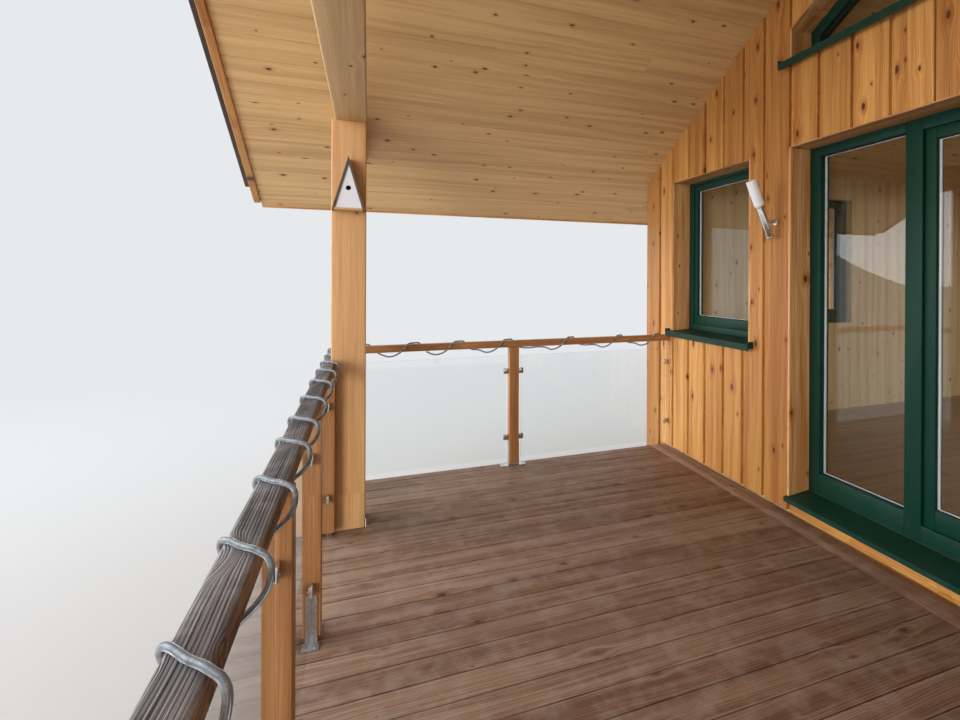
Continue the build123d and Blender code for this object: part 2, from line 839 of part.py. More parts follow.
# Sheet metal sills: a sloping sheet in the reveal and a wider lip in front of the cladding
def sheet_points(start, end, reach_back, fall):
    """Section of a sloping sheet between two distances in front of the wall."""
    return [
        (start, -(start + reach_back) * fall),
        (end, -(end + reach_back) * fall),
        (end, -(end + reach_back) * fall - sheet_thick),
        (start, -(start + reach_back) * fall - sheet_thick),
    ]


def sill_plane(window, lift):
    """The plane of a sill's section, its x pointing out of the wall, above the window's sill."""
    return Plane(origin=window.origin + Vector(0, 0, lift), x_dir=window.z_dir, z_dir=-window.x_dir)


gable_sills = [
    wall_plane(0, front_y, deck_height + gable_sill, "front"),
    wall_plane(0, back_y, deck_height + gable_sill, "back"),
]
sill_slope = (sill_rise - sheet_thick) / reveal_depth
lip_top = -(sill_reach + reveal_depth) * sill_slope
with BuildPart() as window_sills:
    for windows, width, side in (
        (all_windows, window_width, sill_side),
        (gable_sills, 2 * gable_half_width, gable_sill_side),
    ):
        planes = [sill_plane(window, sill_rise) for window in windows]
        with BuildSketch(*planes):
            Polygon(*sheet_points(-reveal_depth, 0, reveal_depth, sill_slope))
        extrude(amount=width / 2, both=True)
        with BuildSketch(*planes):
            Polygon(*sheet_points(0, sill_reach, reveal_depth, sill_slope))
            with Locations((sill_reach, lip_top)):
                Rectangle(sheet_thick, sill_lip, align=(Align.MAX, Align.MAX))
        extrude(amount=width / 2 + side, both=True)
write(window_sills, "window_sills")

threshold_lip_y = front_y - threshold_reach
threshold_lip_z = threshold_top - threshold_fall - threshold_lip
threshold_bend = threshold_under - (threshold_run - sheet_thick) * threshold_slope
with BuildPart() as door_threshold:
    with BuildSketch(Plane.YZ):
        Polygon(
            *threshold_line,
            (frame_front, threshold_under),
            (threshold_lip_y + sheet_thick, threshold_bend),
            (threshold_lip_y + sheet_thick, threshold_lip_z),
            (threshold_lip_y, threshold_lip_z),
        )
    extrude(amount=hole_half_door, both=True)
write(door_threshold, "door_threshold")

# Terrace door: the fixed frame with a lip that the leaf stops against, and its fixed lights
door_plane = wall_plane(0, frame_front, deck_height, "front")
door_fixed_top = head_height - door_fixed_head
leaf_top = head_height - leaf_head
fixed_outer = door_half_width - door_stile
fixed_inner = door_mullion_x + door_mullion_half
fixed_width = fixed_outer - fixed_inner
fixed_height = door_fixed_top - door_fixed_bottom
fixed_x = (fixed_outer + fixed_inner) / 2
fixed_z = (door_fixed_bottom + door_fixed_top) / 2
fixed_middles = [(-fixed_x, fixed_z), (fixed_x, fixed_z)]
lip_half = door_mullion_x - door_mullion_half
lip_middle = (0, (leaf_bottom + leaf_top) / 2)
lip_width = 2 * lip_half
lip_height = leaf_top - leaf_bottom
leaf_width = lip_width + 2 * leaf_overlap
leaf_height = lip_height + 2 * leaf_overlap
rebate_left = -leaf_width / 2 - leaf_free_clearance
rebate_width = leaf_width + leaf_clearance + leaf_free_clearance
with BuildPart() as door_frame:
    with BuildSketch(door_plane):
        with Locations((0, floor_step)):
            Rectangle(2 * hole_half_door, head_height + lining_thick - floor_step, align=low_edge)
        with Locations(*fixed_middles):
            Rectangle(fixed_width, fixed_height, mode=Mode.SUBTRACT)
        with Locations(lip_middle):
            Rectangle(lip_width, lip_height, mode=Mode.SUBTRACT)
    extrude(amount=-frame_depth)
    with BuildSketch(door_plane.offset(-stop_lip_depth)):
        with Locations((rebate_left, lip_middle[1])):
            Rectangle(rebate_width, leaf_height + 2 * leaf_clearance, align=(Align.MIN, Align.CENTER))
    extrude(amount=stop_lip_depth - frame_depth, mode=Mode.SUBTRACT)
write(door_frame, "door_frame")

with BuildPart() as door_fixed_glass:
    with BuildSketch(door_plane.offset(-pane_setback)):
        with Locations(*fixed_middles):
            Rectangle(fixed_width, fixed_height)
    extrude(amount=-pane_thick)
write(door_fixed_glass, "door_fixed_glass")

leaf_light_width = lip_width - 2 * leaf_stile
light_low = leaf_bottom + leaf_bottom_rail
light_high = leaf_top - leaf_top_rail
leaf_light_middle = (0, (light_low + light_high) / 2)
leaf_setback = stop_lip_depth + leaf_clearance
with BuildPart() as door_leaf:
    with BuildSketch(door_plane.offset(-leaf_setback)):
        with Locations(lip_middle):
            Rectangle(leaf_width, leaf_height)
        with Locations(leaf_light_middle):
            Rectangle(leaf_light_width, light_high - light_low, mode=Mode.SUBTRACT)
    extrude(amount=leaf_setback - frame_depth)
write(door_leaf, "door_leaf")

with BuildPart() as door_leaf_glass:
    with BuildSketch(door_plane.offset(-pane_setback)):
        with Locations(leaf_light_middle):
            Rectangle(leaf_light_width, light_high - light_low)
    extrude(amount=-pane_thick)
write(door_leaf_glass, "door_leaf_glass")

# Hinges on the room side: a frame knuckle with a pin below, a leaf sleeve round the pin above
hinge_x = lip_half + leaf_overlap + leaf_clearance / 2
hinge_y = frame_back + hinge_radius + hinge_play
knuckle = hinge_length / 2
hinge_heights = (leaf_bottom + hinge_inset, lip_middle[1], leaf_top - hinge_inset)
hinge_spots = [(hinge_x, hinge_y, deck_height + height) for height in hinge_heights]
with BuildPart() as door_hinge_pins:
    with Locations(*[(x, y, z - knuckle) for x, y, z in hinge_spots]):
        Cylinder(hinge_radius, knuckle - hinge_play, align=upwards)
        Cylinder(hinge_pin_radius, hinge_length, align=upwards)
    with Locations(*[(x, frame_back, z - knuckle) for x, y, z in hinge_spots]):
        Box(
            hinge_plate_width,
            hinge_plate_thick,
            knuckle - hinge_play,
            align=(Align.MIN, Align.MIN, Align.MIN),
        )
write(door_hinge_pins, "door_hinge_pins")

with BuildPart() as door_hinge_sleeves:
    with Locations(*hinge_spots):
        Cylinder(hinge_radius, knuckle, align=upwards)
    with Locations(*[(x, frame_back, z) for x, y, z in hinge_spots]):
        Box(
            hinge_plate_width,
            hinge_plate_thick,
            knuckle,
            align=(Align.MAX, Align.MIN, Align.MIN),
        )
    with Locations(*hinge_spots):
        Cylinder(hinge_pin_radius + hinge_play, knuckle, align=upwards, mode=Mode.SUBTRACT)
write(door_hinge_sleeves, "door_hinge_sleeves")

# Wall lamp: a leaning tube on an arm and a rose, with its diffuser on top
lean = radians(lamp_lean)
lamp_axis = Vector(0, -sin(lean), cos(lean))
lamp_foot = Vector(lamp_x, front_y - lamp_foot_out, head_z - lamp_foot_drop)
lamp_arm_z = lamp_foot.Z + lamp_arm_over_foot
arm_out = lamp_foot_out + lamp_arm_over_foot * tan(lean)
with BuildPart() as wall_lamp:
    with BuildSketch(Plane(origin=lamp_foot, z_dir=lamp_axis)):
        Circle(lamp_tube_radius)
    extrude(amount=lamp_tube_length)
    with BuildSketch(wall_plane(lamp_x, front_y, lamp_arm_z, "front")):
        Circle(lamp_arm_radius)
    extrude(amount=arm_out)
    with BuildSketch(wall_plane(lamp_x, front_y, lamp_arm_z, "front")):
        Circle(lamp_rose_radius)
    extrude(amount=lamp_rose_thick)
write(wall_lamp, "wall_lamp")

with BuildPart() as lamp_diffuser:
    with BuildSketch(Plane(origin=lamp_foot + lamp_axis * lamp_tube_length, z_dir=lamp_axis)):
        Circle(lamp_diffuser_radius)
    extrude(amount=lamp_diffuser_length)
write(lamp_diffuser, "lamp_diffuser")

# Nest box on the left roof post: two leaning boards, a floor and a back, and a front with a hole
nest_plane = Plane(
    origin=(-post_x + post_size / 2, post_y, beam_bottom - nest_drop),
    x_dir=(0, 1, 0),
    z_dir=(1, 0, 0),
)
nest_half = nest_width / 2
side_lean = nest_half / nest_height
inner_rise = nest_board * sqrt(1 + 1 / side_lean**2)
nest_inner = [
    (-(nest_height - inner_rise - nest_board) * side_lean, nest_board),
    ((nest_height - inner_rise - nest_board) * side_lean, nest_board),
    (0, nest_height - inner_rise),
]
with BuildPart() as nest_box:
    with BuildSketch(nest_plane):
        Polygon((-nest_half, 0), (nest_half, 0), (0, nest_height))
    extrude(amount=nest_depth)
    with BuildSketch(nest_plane.offset(nest_board)):
        Polygon(*nest_inner)
    extrude(amount=nest_depth - nest_board, mode=Mode.SUBTRACT)
write(nest_box, "nest_box")

with BuildPart() as nest_box_front:
    with BuildSketch(nest_plane.offset(nest_depth - 2 * nest_board)):
        Polygon(*nest_inner)
        with Locations((0, nest_hole_height)):
            Circle(nest_hole_radius, mode=Mode.SUBTRACT)
    extrude(amount=nest_board)
write(nest_box_front, "nest_box_front")
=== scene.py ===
import math
import random

import bmesh
import bpy
from mathutils import Matrix, Vector


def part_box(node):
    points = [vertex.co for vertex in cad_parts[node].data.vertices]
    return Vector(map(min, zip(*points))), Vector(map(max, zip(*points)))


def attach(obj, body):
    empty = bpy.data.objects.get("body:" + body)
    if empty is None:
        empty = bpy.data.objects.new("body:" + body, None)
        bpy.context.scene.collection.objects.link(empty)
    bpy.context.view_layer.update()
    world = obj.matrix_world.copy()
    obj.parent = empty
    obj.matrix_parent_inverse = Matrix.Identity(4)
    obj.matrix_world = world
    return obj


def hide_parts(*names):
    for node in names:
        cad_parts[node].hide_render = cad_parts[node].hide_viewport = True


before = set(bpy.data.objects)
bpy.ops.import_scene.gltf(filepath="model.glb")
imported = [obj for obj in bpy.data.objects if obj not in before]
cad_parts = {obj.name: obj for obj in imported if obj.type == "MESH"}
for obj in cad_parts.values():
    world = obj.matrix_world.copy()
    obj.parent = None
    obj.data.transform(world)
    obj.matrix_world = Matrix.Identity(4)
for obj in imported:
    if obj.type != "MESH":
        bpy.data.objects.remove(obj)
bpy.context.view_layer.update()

# A timber chalet with a roofed terrace. Metres. The ground is Z = 0, the terrace looks along -Y
# and the ridge runs along Y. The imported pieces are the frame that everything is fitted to.

bl_info = {
    "name": "Timber chalet",
    "version": (1, 0, 0),
    "blender": (4, 5, 0),
    "location": "3D View > Sidebar > Chalet",
    "description": "Boards, trim and finishes of a timber chalet with a roofed terrace",
    "category": "Object",
}

# The roof's slope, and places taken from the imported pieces
ROOF_ANGLE = math.radians(26.6)
SLOPE = math.tan(ROOF_ANGLE)
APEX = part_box("front_cladding")[1].z
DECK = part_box("deck_floor")[1].z
DECK_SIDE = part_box("deck_floor")[1].x
PLINTH_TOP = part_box("back_cladding")[0].z
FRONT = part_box("front_cladding")[0].y
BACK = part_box("back_cladding")[1].y
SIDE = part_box("side_cladding")[1].x
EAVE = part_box("roof_panel_right")[1].x
ROOF_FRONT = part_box("roof_panel_right")[0].y
ROOF_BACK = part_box("roof_panel_right")[1].y
HOUSE_MIDDLE = (FRONT + BACK) / 2

# The openings inside their linings. A reveal is as deep as the frame is set back.
HEAD = DECK + 2.47
WINDOW_SILL = DECK + 1.10
WINDOW_HALF = 0.571
WINDOW_X = 2.305
SIDE_WINDOW = 1.65
DOOR_HALF = 1.275
DOOR_FOOT = DECK + 0.13
GABLE_HALF = 1.27
GABLE_SILL = DECK + 3.065
GABLE_JAMB = DECK + 3.285
GABLE_PEAK = GABLE_JAMB + GABLE_HALF * SLOPE
REVEAL = 0.175

# How far the solids that cut the openings stand out of a wall and go into it, and how far they
# pass the gable's peak and the deck
THROUGH_WALL = (-0.2, 0.5)
ABOVE_PEAK = 0.1
BELOW_DECK = 0.3

# Thicknesses
LINING = 0.02
CLADDING = 0.025
ROOF_THICK = 0.18

# The railing's posts along the front, and the half of a post's width
RAIL_POST_HALF = 0.04
FRONT_RAIL_POSTS = (-2.38, -2.1, -1.01, 0, 1.01, 2.1, 2.38)

# Edges turned by less than the first angle stay unbevelled, and by less than the second smooth
BEVEL_FROM = math.radians(25)
SMOOTH_TO = math.radians(30)

UP = Vector((0, 0, 1))

WINDOWS = (
    ("front", -WINDOW_X),
    ("front", WINDOW_X),
    ("back", -WINDOW_X),
    ("back", WINDOW_X),
    ("left", HOUSE_MIDDLE - SIDE_WINDOW),
    ("left", HOUSE_MIDDLE + SIDE_WINDOW),
    ("right", HOUSE_MIDDLE - SIDE_WINDOW),
    ("right", HOUSE_MIDDLE + SIDE_WINDOW),
)


# Settings that a user would change

def colour(name, description, default):
    """A colour property."""
    return bpy.props.FloatVectorProperty(
        name=name, description=description, subtype="COLOR", size=3, min=0, max=1, default=default
    )


def length(name, description, default):
    """A length property."""
    return bpy.props.FloatProperty(
        name=name, description=description, unit="LENGTH", min=0, default=default
    )


class ChaletColours(bpy.types.PropertyGroup):
    """Colours of the chalet's finishes."""

    larch: colour("Larch", "Oiled cladding and lining boards", (0.63, 0.33, 0.092))
    larch_dark: colour("Larch streaks", "Darker grain of the larch", (0.36, 0.125, 0.024))
    lining: colour("Linings", "Boards of the window and door reveals", (0.68, 0.42, 0.19))
    spruce: colour("Spruce", "Boards of the ceiling and the tie beam", (0.70, 0.455, 0.205))
    spruce_dark: colour("Spruce streaks", "Darker grain of the spruce", (0.45, 0.26, 0.10))
    knots: colour("Knots", "Knots in all the fresh timber", (0.08, 0.028, 0.008))
    post: colour("Posts", "Roof posts", (0.70, 0.42, 0.20))
    post_dark: colour("Post streaks", "Darker grain of the roof posts", (0.54, 0.27, 0.105))
    bar: colour("Railing", "Oiled railing posts and side handrails", (0.46, 0.225, 0.085))
    bar_dark: colour("Railing streaks", "Darker grain of the railing", (0.27, 0.105, 0.034))
    deck: colour("Deck", "Oiled deck boards", (0.335, 0.22, 0.157))
    deck_dark: colour("Deck streaks", "Darker grain of the deck boards", (0.155, 0.075, 0.042))
    # The handrail's blue-grey is partly the silver of weathered wood, partly painted blue sky light
    # on its top
    rail: colour("Handrail", "Weathered handrail of the front", (0.355, 0.360, 0.405))
    rail_dark: colour(
        "Handrail grain", "Late wood of the weathered handrail", (0.088, 0.080, 0.088)
    )
    green: colour("Green", "Paint of the windows and the terrace door", (0.004, 0.034, 0.022))
    roof: colour("Roof sheet", "Coated sheet metal of the roof", (0.045, 0.048, 0.05))
    concrete: colour("Concrete", "Plinth and piers", (0.36, 0.35, 0.33))
    dark_board: colour("Verge", "Outer verge boards", (0.075, 0.045, 0.028))
    room: colour("Room walls", "Timber lining inside the house", (0.66, 0.47, 0.27))
    floor: colour("Studio floor", "Plain pale floor under the chalet", (0.56, 0.57, 0.58))


class ChaletSizes(bpy.types.PropertyGroup):
    """Sizes of the boards and trim."""

    clad_pitch: length("Cladding pitch", "From one cladding board to the next", 0.27)
    clad_gap: length("Cladding gap", "Gap between two raised boards", 0.038)
    clad_depth: length("Cladding depth", "Depth of the gaps between raised boards", 0.020)
    ceiling_board: length("Ceiling board", "Width of a ceiling board", 0.2025)
    deck_pitch: length("Deck pitch", "From one deck board to the next", 0.15)
    deck_gap: length("Deck gap", "Gap between two deck boards", 0.005)
    seam_pitch: length("Seam pitch", "Between two standing seams of the roof", 0.56)
    post_chamfer: length("Post chamfer", "Chamfer along the roof posts", 0.009)


# Modelling by hand, in code

def deselect():
    """Leaves nothing selected, in object mode."""
    if bpy.context.object and bpy.context.object.mode != "OBJECT":
        bpy.ops.object.mode_set(mode="OBJECT")
    bpy.ops.object.select_all(action="DESELECT")


def pick(piece):
    """Selects one piece and makes it active."""
    deselect()
    piece.select_set(True)
    bpy.context.view_layer.objects.active = piece


def settle(piece, turn=(0, 0, 0), place=(0, 0, 0)):
    """Turns and places a piece, and puts its place in its mesh."""
    pick(piece)
    piece.rotation_euler = turn
    piece.location = place
    bpy.ops.object.transform_apply(location=True, rotation=True, scale=True)


def add_all(name, add, shapes):
    """Adds one object with a primitive for each set of values."""
    deselect()
    for number, shape in enumerate(shapes):
        add(**shape)
        if number == 0:
            bpy.ops.object.transform_apply(location=True, rotation=True, scale=True)
            bpy.ops.object.mode_set(mode="EDIT")
    bpy.ops.object.mode_set(mode="OBJECT")
    piece = bpy.context.object
    piece.name = name
    return piece


def add_boxes(name, boxes):
    """Adds one object with a box for each pair of corners."""
    corners = [(Vector(low), Vector(high)) for low, high in boxes]
    shapes = [
        {"size": 1, "location": (low + high) / 2, "scale": high - low} for low, high in corners
    ]
    return add_all(name, bpy.ops.mesh.primitive_cube_add, shapes)


def add_rods(name, rods, vertices=16):
    """Adds one object with a round rod for each centre, direction, radius and length."""
    shapes = [
        {
            "vertices": vertices, "radius": radius, "depth": depth, "location": centre,
            "rotation": Vector(way).to_track_quat("Z", "Y").to_euler(),
        }
        for centre, way, radius, depth in rods
    ]
    return add_all(name, bpy.ops.mesh.primitive_cylinder_add, shapes)


def apply_modifier(piece, kind, **settings):
    """Adds a modifier to a piece and applies it."""
    pick(piece)
    bpy.ops.object.modifier_add(type=kind)
    modifier = piece.modifiers[-1]
    for key, value in settings.items():
        setattr(modifier, key, value)
    bpy.ops.object.modifier_apply(modifier=modifier.name)


def ease_edges(piece, width, segments=1):
    """Bevels the sharp edges of a piece and shades it smooth."""
    apply_modifier(
        piece, "BEVEL", width=width, segments=segments, limit_method="ANGLE",
        angle_limit=BEVEL_FROM, use_clamp_overlap=True,
    )
    pick(piece)
    bpy.ops.object.shade_smooth_by_angle(angle=SMOOTH_TO)


def cut(piece, point, normal):
    """Cuts a piece with a plane and keeps what is behind it, closed."""
    pick(piece)
    bpy.ops.object.mode_set(mode="EDIT")
    bpy.ops.mesh.select_all(action="SELECT")
    bpy.ops.mesh.bisect(plane_co=point, plane_no=normal, use_fill=True, clear_outer=True)
    bpy.ops.object.mode_set(mode="OBJECT")


def roof_normal(sign):
    """The direction straight out of one slope of the roof: -1 for the left one, 1 for the right."""
    return Vector((sign * math.sin(ROOF_ANGLE), 0, math.cos(ROOF_ANGLE)))


def roof_fall(sign):
    """The direction of one slope's fall line, taken from left to right."""
    return Vector((math.cos(ROOF_ANGLE), 0, -sign * math.sin(ROOF_ANGLE)))


def cut_to_roof(piece, peak=APEX):
    """Cuts a piece along two planes parallel to the roof's slopes that meet at a peak."""
    for sign in (-1, 1):
        cut(piece, (0, 0, peak), roof_normal(sign))


def hollow(piece, cutter):
    """Takes the cutter's shape out of a piece and removes the cutter."""
    apply_modifier(piece, "BOOLEAN", operation="DIFFERENCE", solver="EXACT", object=cutter)
    bpy.data.objects.remove(cutter)


def join(name, *pieces):
    """Joins several pieces into one."""
    pick(pieces[0])
    if len(pieces) > 1:
        for piece in pieces:
            piece.select_set(True)
        bpy.ops.object.join()
    pieces[0].name = name
    return pieces[0]


def laminate(piece, point, normal):
    """Parts a piece along a plane into two closed halves, so that each has its own grain."""
    pick(piece)
    bpy.ops.object.duplicate()
    other = bpy.context.object
    cut(piece, point, normal)
    cut(other, point, [-part for part in normal])
    join(piece.name, piece, other)
    bpy.ops.object.shade_smooth_by_angle(angle=SMOOTH_TO)


def islands(mesh_graph):
    """The separate boards of a mesh, as lists of vertices in a steady order."""
    seen = set()
    found = []
    for start in mesh_graph.verts:
        if start.index in seen:
            continue
        seen.add(start.index)
        group, queue = [], [start]
        while queue:
            vertex = queue.pop()
            group.append(vertex)
            for edge in vertex.link_edges:
                other = edge.other_vert(vertex)
                if other.index not in seen:
                    seen.add(other.index)
                    queue.append(other)
        found.append(group)
    return found


def mark_grain(piece, along, across, seed):
    """Stores on each vertex where it lies in its board's grain, and a tone for each board."""
    along, across = Vector(along).normalized(), Vector(across).normalized()
    through = along.cross(across)
    chance = random.Random(seed)
    graph = bmesh.new()
    graph.from_mesh(piece.data)
    graph.verts.ensure_lookup_table()
    vectors, values = graph.verts.layers.float_vector, graph.verts.layers.float
    grain = vectors.get("grain") or vectors.new("grain")
    tone = values.get("tone") or values.new("tone")
    for board in islands(graph):
        shift = Vector((chance.uniform(0, 40), chance.uniform(0, 40), chance.uniform(0, 40)))
        board_tone = chance.random()
        for vertex in board:
            place = Vector((vertex.co.dot(along), vertex.co.dot(across), vertex.co.dot(through)))
            vertex[grain] = place + shift
            vertex[tone] = board_tone
    graph.to_mesh(piece.data)
    graph.free()


def finish_piece(piece, material, nodes=(), body="house"):
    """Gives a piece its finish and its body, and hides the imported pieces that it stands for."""
    piece.data.materials.clear()
    piece.data.materials.append(material)
    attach(piece, body)
    if nodes:
        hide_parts(*nodes)


def wall_box(side, along, depth, height):
    """Corners of a box on a wall: along it, into it from its outer face, and its two heights."""
    a0, a1 = along
    d0, d1 = depth
    z0, z1 = height
    if side == "front":
        return (a0, FRONT + d0, z0), (a1, FRONT + d1, z1)
    if side == "back":
        return (a0, BACK - d1, z0), (a1, BACK - d0, z1)
    if side == "left":
        return (-SIDE + d0, a0, z0), (-SIDE + d1, a1, z1)
    return (SIDE - d1, a0, z0), (SIDE - d0, a1, z1)


def bars(side, middle, half, height, widths, depth):
    """Four bars inside an outline on a wall: left, right, top and bottom."""
    (low, high), (left, right, top, bottom) = height, widths
    start, end = middle - half, middle + half
    return [
        wall_box(side, (start, start + left), depth, (low, high)),
        wall_box(side, (end - right, end), depth, (low, high)),
        wall_box(side, (start + left, end - right), depth, (high - top, high)),
        wall_box(side, (start + left, end - right), depth, (low, low + bottom)),
    ]


def sloping(name, rows, end_x, peak):
    """Boards down both slopes from a peak, cut plumb at the ridge and at their lower ends."""
    halves = []
    for sign in (-1, 1):
        boxes = [
            ((min(sign * s0, sign * s1), y0, z0), (max(sign * s0, sign * s1), y1, z1))
            for s0, s1, y0, y1, z0, z1 in rows
        ]
        half = add_boxes(name, boxes)
        settle(half, (0, sign * ROOF_ANGLE, 0), (0, 0, peak))
        cut(half, (0, 0, 0), (-sign, 0, 0))
        cut(half, (sign * end_x, 0, 0), (sign, 0, 0))
        halves.append(half)
    return halves


def mark_slopes(halves, seed):
    """Marks grain that runs down both slopes."""
    for sign, half in zip((-1, 1), halves):
        mark_grain(half, roof_fall(sign), roof_normal(sign), "%s %d" % (seed, sign))


def gable_cutter(side, spare):
    """A prism through a gable wall, with the gable window's outline and some room round it."""
    half = GABLE_HALF + spare
    peak = GABLE_PEAK + spare / math.cos(ROOF_ANGLE)
    box = wall_box(side, (-half, half), THROUGH_WALL, (GABLE_SILL, peak + ABOVE_PEAK))
    cutter = add_boxes("gable_cutter", [box])
    cut_to_roof(cutter, peak)
    return cutter


# Materials

def node(tree, kind, **settings):
    """Adds a node, setting its fields."""
    made = tree.nodes.new(kind)
    for key, value in settings.items():
        setattr(made, key, value)
    return made


def wire(tree, source, target):
    """Links a value, or another node's output, to an input."""
    if isinstance(source, bpy.types.NodeSocket):
        tree.links.new(source, target)
    else:
        target.default_value = source
    return target


def calc(tree, operation, *values, clamp=False):
    """A Math node's result."""
    made = node(tree, "ShaderNodeMath", operation=operation, use_clamp=clamp)
    for number, value in enumerate(values):
        wire(tree, value, made.inputs[number])
    return made.outputs[0]


def blend_colour(tree, share, first, second, mode="MIX"):
    """A colour Mix node's result."""
    made = node(tree, "ShaderNodeMix", data_type="RGBA", blend_type=mode)
    wire(tree, share, made.inputs["Factor"])
    wire(tree, first, made.inputs["A"])
    wire(tree, second, made.inputs["B"])
    return next(out for out in made.outputs if out.type == "RGBA")


def ramp(tree, value, low, high, start=0.0, end=1.0):
    """A smooth change of a value from start to end between low and high."""
    made = node(tree, "ShaderNodeMapRange", interpolation_type="SMOOTHSTEP")
    for name, number in (("From Min", low), ("From Max", high), ("To Min", start), ("To Max", end)):
        wire(tree, number, made.inputs[name])
    wire(tree, value, made.inputs["Value"])
    return made.outputs["Result"]


def noise(tree, vector, scale, detail=2.0, rough=0.5):
    """A Noise node's value."""
    made = node(tree, "ShaderNodeTexNoise")
    wire(tree, vector, made.inputs["Vector"])
    wire(tree, scale, made.inputs["Scale"])
    wire(tree, detail, made.inputs["Detail"])
    wire(tree, rough, made.inputs["Roughness"])
    return made.outputs[0]


def stretched(tree, vector, x, y, z):
    """A vector with each part multiplied by its own number."""
    made = node(tree, "ShaderNodeVectorMath", operation="MULTIPLY")
    wire(tree, vector, made.inputs[0])
    wire(tree, (x, y, z), made.inputs[1])
    return made.outputs[0]


def new_group(name, inputs, outputs):
    """An empty shader node group with named sockets."""
    group = bpy.data.node_groups.new(name, "ShaderNodeTree")
    for label, kind, default in inputs:
        socket = group.interface.new_socket(
            name=label, in_out="INPUT", socket_type="NodeSocket" + kind
        )
        if default is not None:
            socket.default_value = default
    for label, kind in outputs:
        group.interface.new_socket(name=label, in_out="OUTPUT", socket_type="NodeSocket" + kind)
    return group, node(group, "NodeGroupInput").outputs, node(group, "NodeGroupOutput").inputs


def build_timber_group():
    """Grain, growth rings and knots of a board whose grain runs along the vector's first part."""
    group, given, result = new_group(
        "Timber grain",
        [
            ("Vector", "Vector", None),
            ("Tone", "Float", 0.5),
            ("Base", "Color", (0.5, 0.3, 0.1, 1)),
            ("Dark", "Color", (0.3, 0.1, 0.05, 1)),
            ("Knot Colour", "Color", (0.1, 0.04, 0.02, 1)),
            ("Knot Amount", "Float", 0.35),
            ("Knot Size", "Float", 0.045),
            ("Ring Density", "Float", 90.0),
            ("Ring Strength", "Float", 0.3),
            ("Fibre Strength", "Float", 0.4),
            ("Tone Spread", "Float", 0.25),
        ],
        [("Color", "Color"), ("Height", "Float")],
    )
    vector = given["Vector"]

    # Knots: one spot for each cell of a pattern, in some of the cells only
    cells_along, cells_across = 2.6, 4.4
    spots = node(group, "ShaderNodeTexVoronoi", voronoi_dimensions="2D", feature="F1")
    wire(group, stretched(group, vector, cells_along, cells_across, 0), spots.inputs["Vector"])
    wire(group, 1.0, spots.inputs["Scale"])
    kinds = node(group, "ShaderNodeSeparateColor")
    wire(group, spots.outputs["Color"], kinds.inputs[0])
    present = calc(group, "GREATER_THAN", given["Knot Amount"], kinds.outputs[0])
    radius = calc(group, "MULTIPLY", given["Knot Size"], calc(group, "ADD", kinds.outputs[1], 0.45))
    rough_edge = calc(group, "SUBTRACT", noise(group, vector, 60), 0.5)
    wobble = calc(group, "MULTIPLY", rough_edge, 0.5)
    ratio = calc(group, "ADD", calc(group, "DIVIDE", spots.outputs["Distance"], radius), wobble)
    knot = calc(group, "MULTIPLY", ramp(group, ratio, 0.65, 1.0, 1.0, 0.0), present)
    halo = calc(group, "MULTIPLY", ramp(group, ratio, 0.9, 2.6, 1.0, 0.0), present)
    pull = calc(group, "MULTIPLY", ramp(group, ratio, 0.8, 6.0, 0.85, 0.0), present)

    # The grain bends round a knot, and drifts a little along the board
    parts = node(group, "ShaderNodeSeparateXYZ")
    wire(group, vector, parts.inputs[0])
    centre = node(group, "ShaderNodeSeparateXYZ")
    wire(group, spots.outputs["Position"], centre.inputs[0])
    knot_row = calc(group, "DIVIDE", centre.outputs[1], cells_across)
    away = calc(group, "SUBTRACT", parts.outputs[1], knot_row)
    bent = calc(group, "SUBTRACT", parts.outputs[1], calc(group, "MULTIPLY", away, pull))
    slow = noise(group, stretched(group, vector, 0.9, 2.4, 2.4), 1.0)
    drift = calc(group, "MULTIPLY", slow, 0.07)
    across = calc(group, "ADD", bent, drift)
    lined = node(group, "ShaderNodeCombineXYZ")
    wire(group, parts.outputs[0], lined.inputs[0])
    wire(group, across, lined.inputs[1])
    wire(group, parts.outputs[2], lined.inputs[2])

    # Fine fibres, broad bands and growth rings
    fibre = noise(group, stretched(group, lined.outputs[0], 2.2, 150, 150), 1.0, 3.0, 0.6)
    broad = noise(group, stretched(group, lined.outputs[0], 0.5, 16, 16), 1.0, 3.0, 0.55)
    phase = calc(group, "ADD", calc(group, "MULTIPLY", across, given["Ring Density"]), broad)
    ring = calc(group, "POWER", calc(group, "FRACT", phase), 3.0)
    ring = calc(group, "MULTIPLY", ring, given["Ring Strength"])
    streak = calc(group, "MULTIPLY", ramp(group, fibre, 0.3, 0.75), given["Fibre Strength"])
    wide = calc(group, "MULTIPLY", ramp(group, broad, 0.35, 0.7), 0.55)

    # Colour: dark grain, then the board's own tone, then the knots
    share = calc(group, "ADD", calc(group, "ADD", ring, streak), wide, clamp=True)
    share = calc(group, "ADD", share, calc(group, "MULTIPLY", halo, 0.45), clamp=True)
    body = blend_colour(group, share, given["Base"], given["Dark"])
    middle_tone = calc(group, "SUBTRACT", given["Tone"], 0.5)
    spread = calc(group, "MULTIPLY", middle_tone, given["Tone Spread"])
    shade = node(group, "ShaderNodeCombineColor")
    for channel, strength in enumerate((1.0, 1.3, 1.6)):
        wire(group, calc(group, "MULTIPLY_ADD", spread, strength, 1.0), shade.inputs[channel])
    body = blend_colour(group, 1.0, body, shade.outputs[0], "MULTIPLY")
    wire(group, blend_colour(group, knot, body, given["Knot Colour"]), result["Color"])

    # Height: rings, fibres and knots lie a little lower
    rings, streaks = calc(group, "MULTIPLY", ring, 0.8), calc(group, "MULTIPLY", streak, 0.7)
    depth = calc(group, "ADD", rings, streaks)
    depth = calc(group, "ADD", depth, calc(group, "MULTIPLY", knot, 0.4))
    wire(group, calc(group, "SUBTRACT", 1.0, depth), result["Height"])
    return group


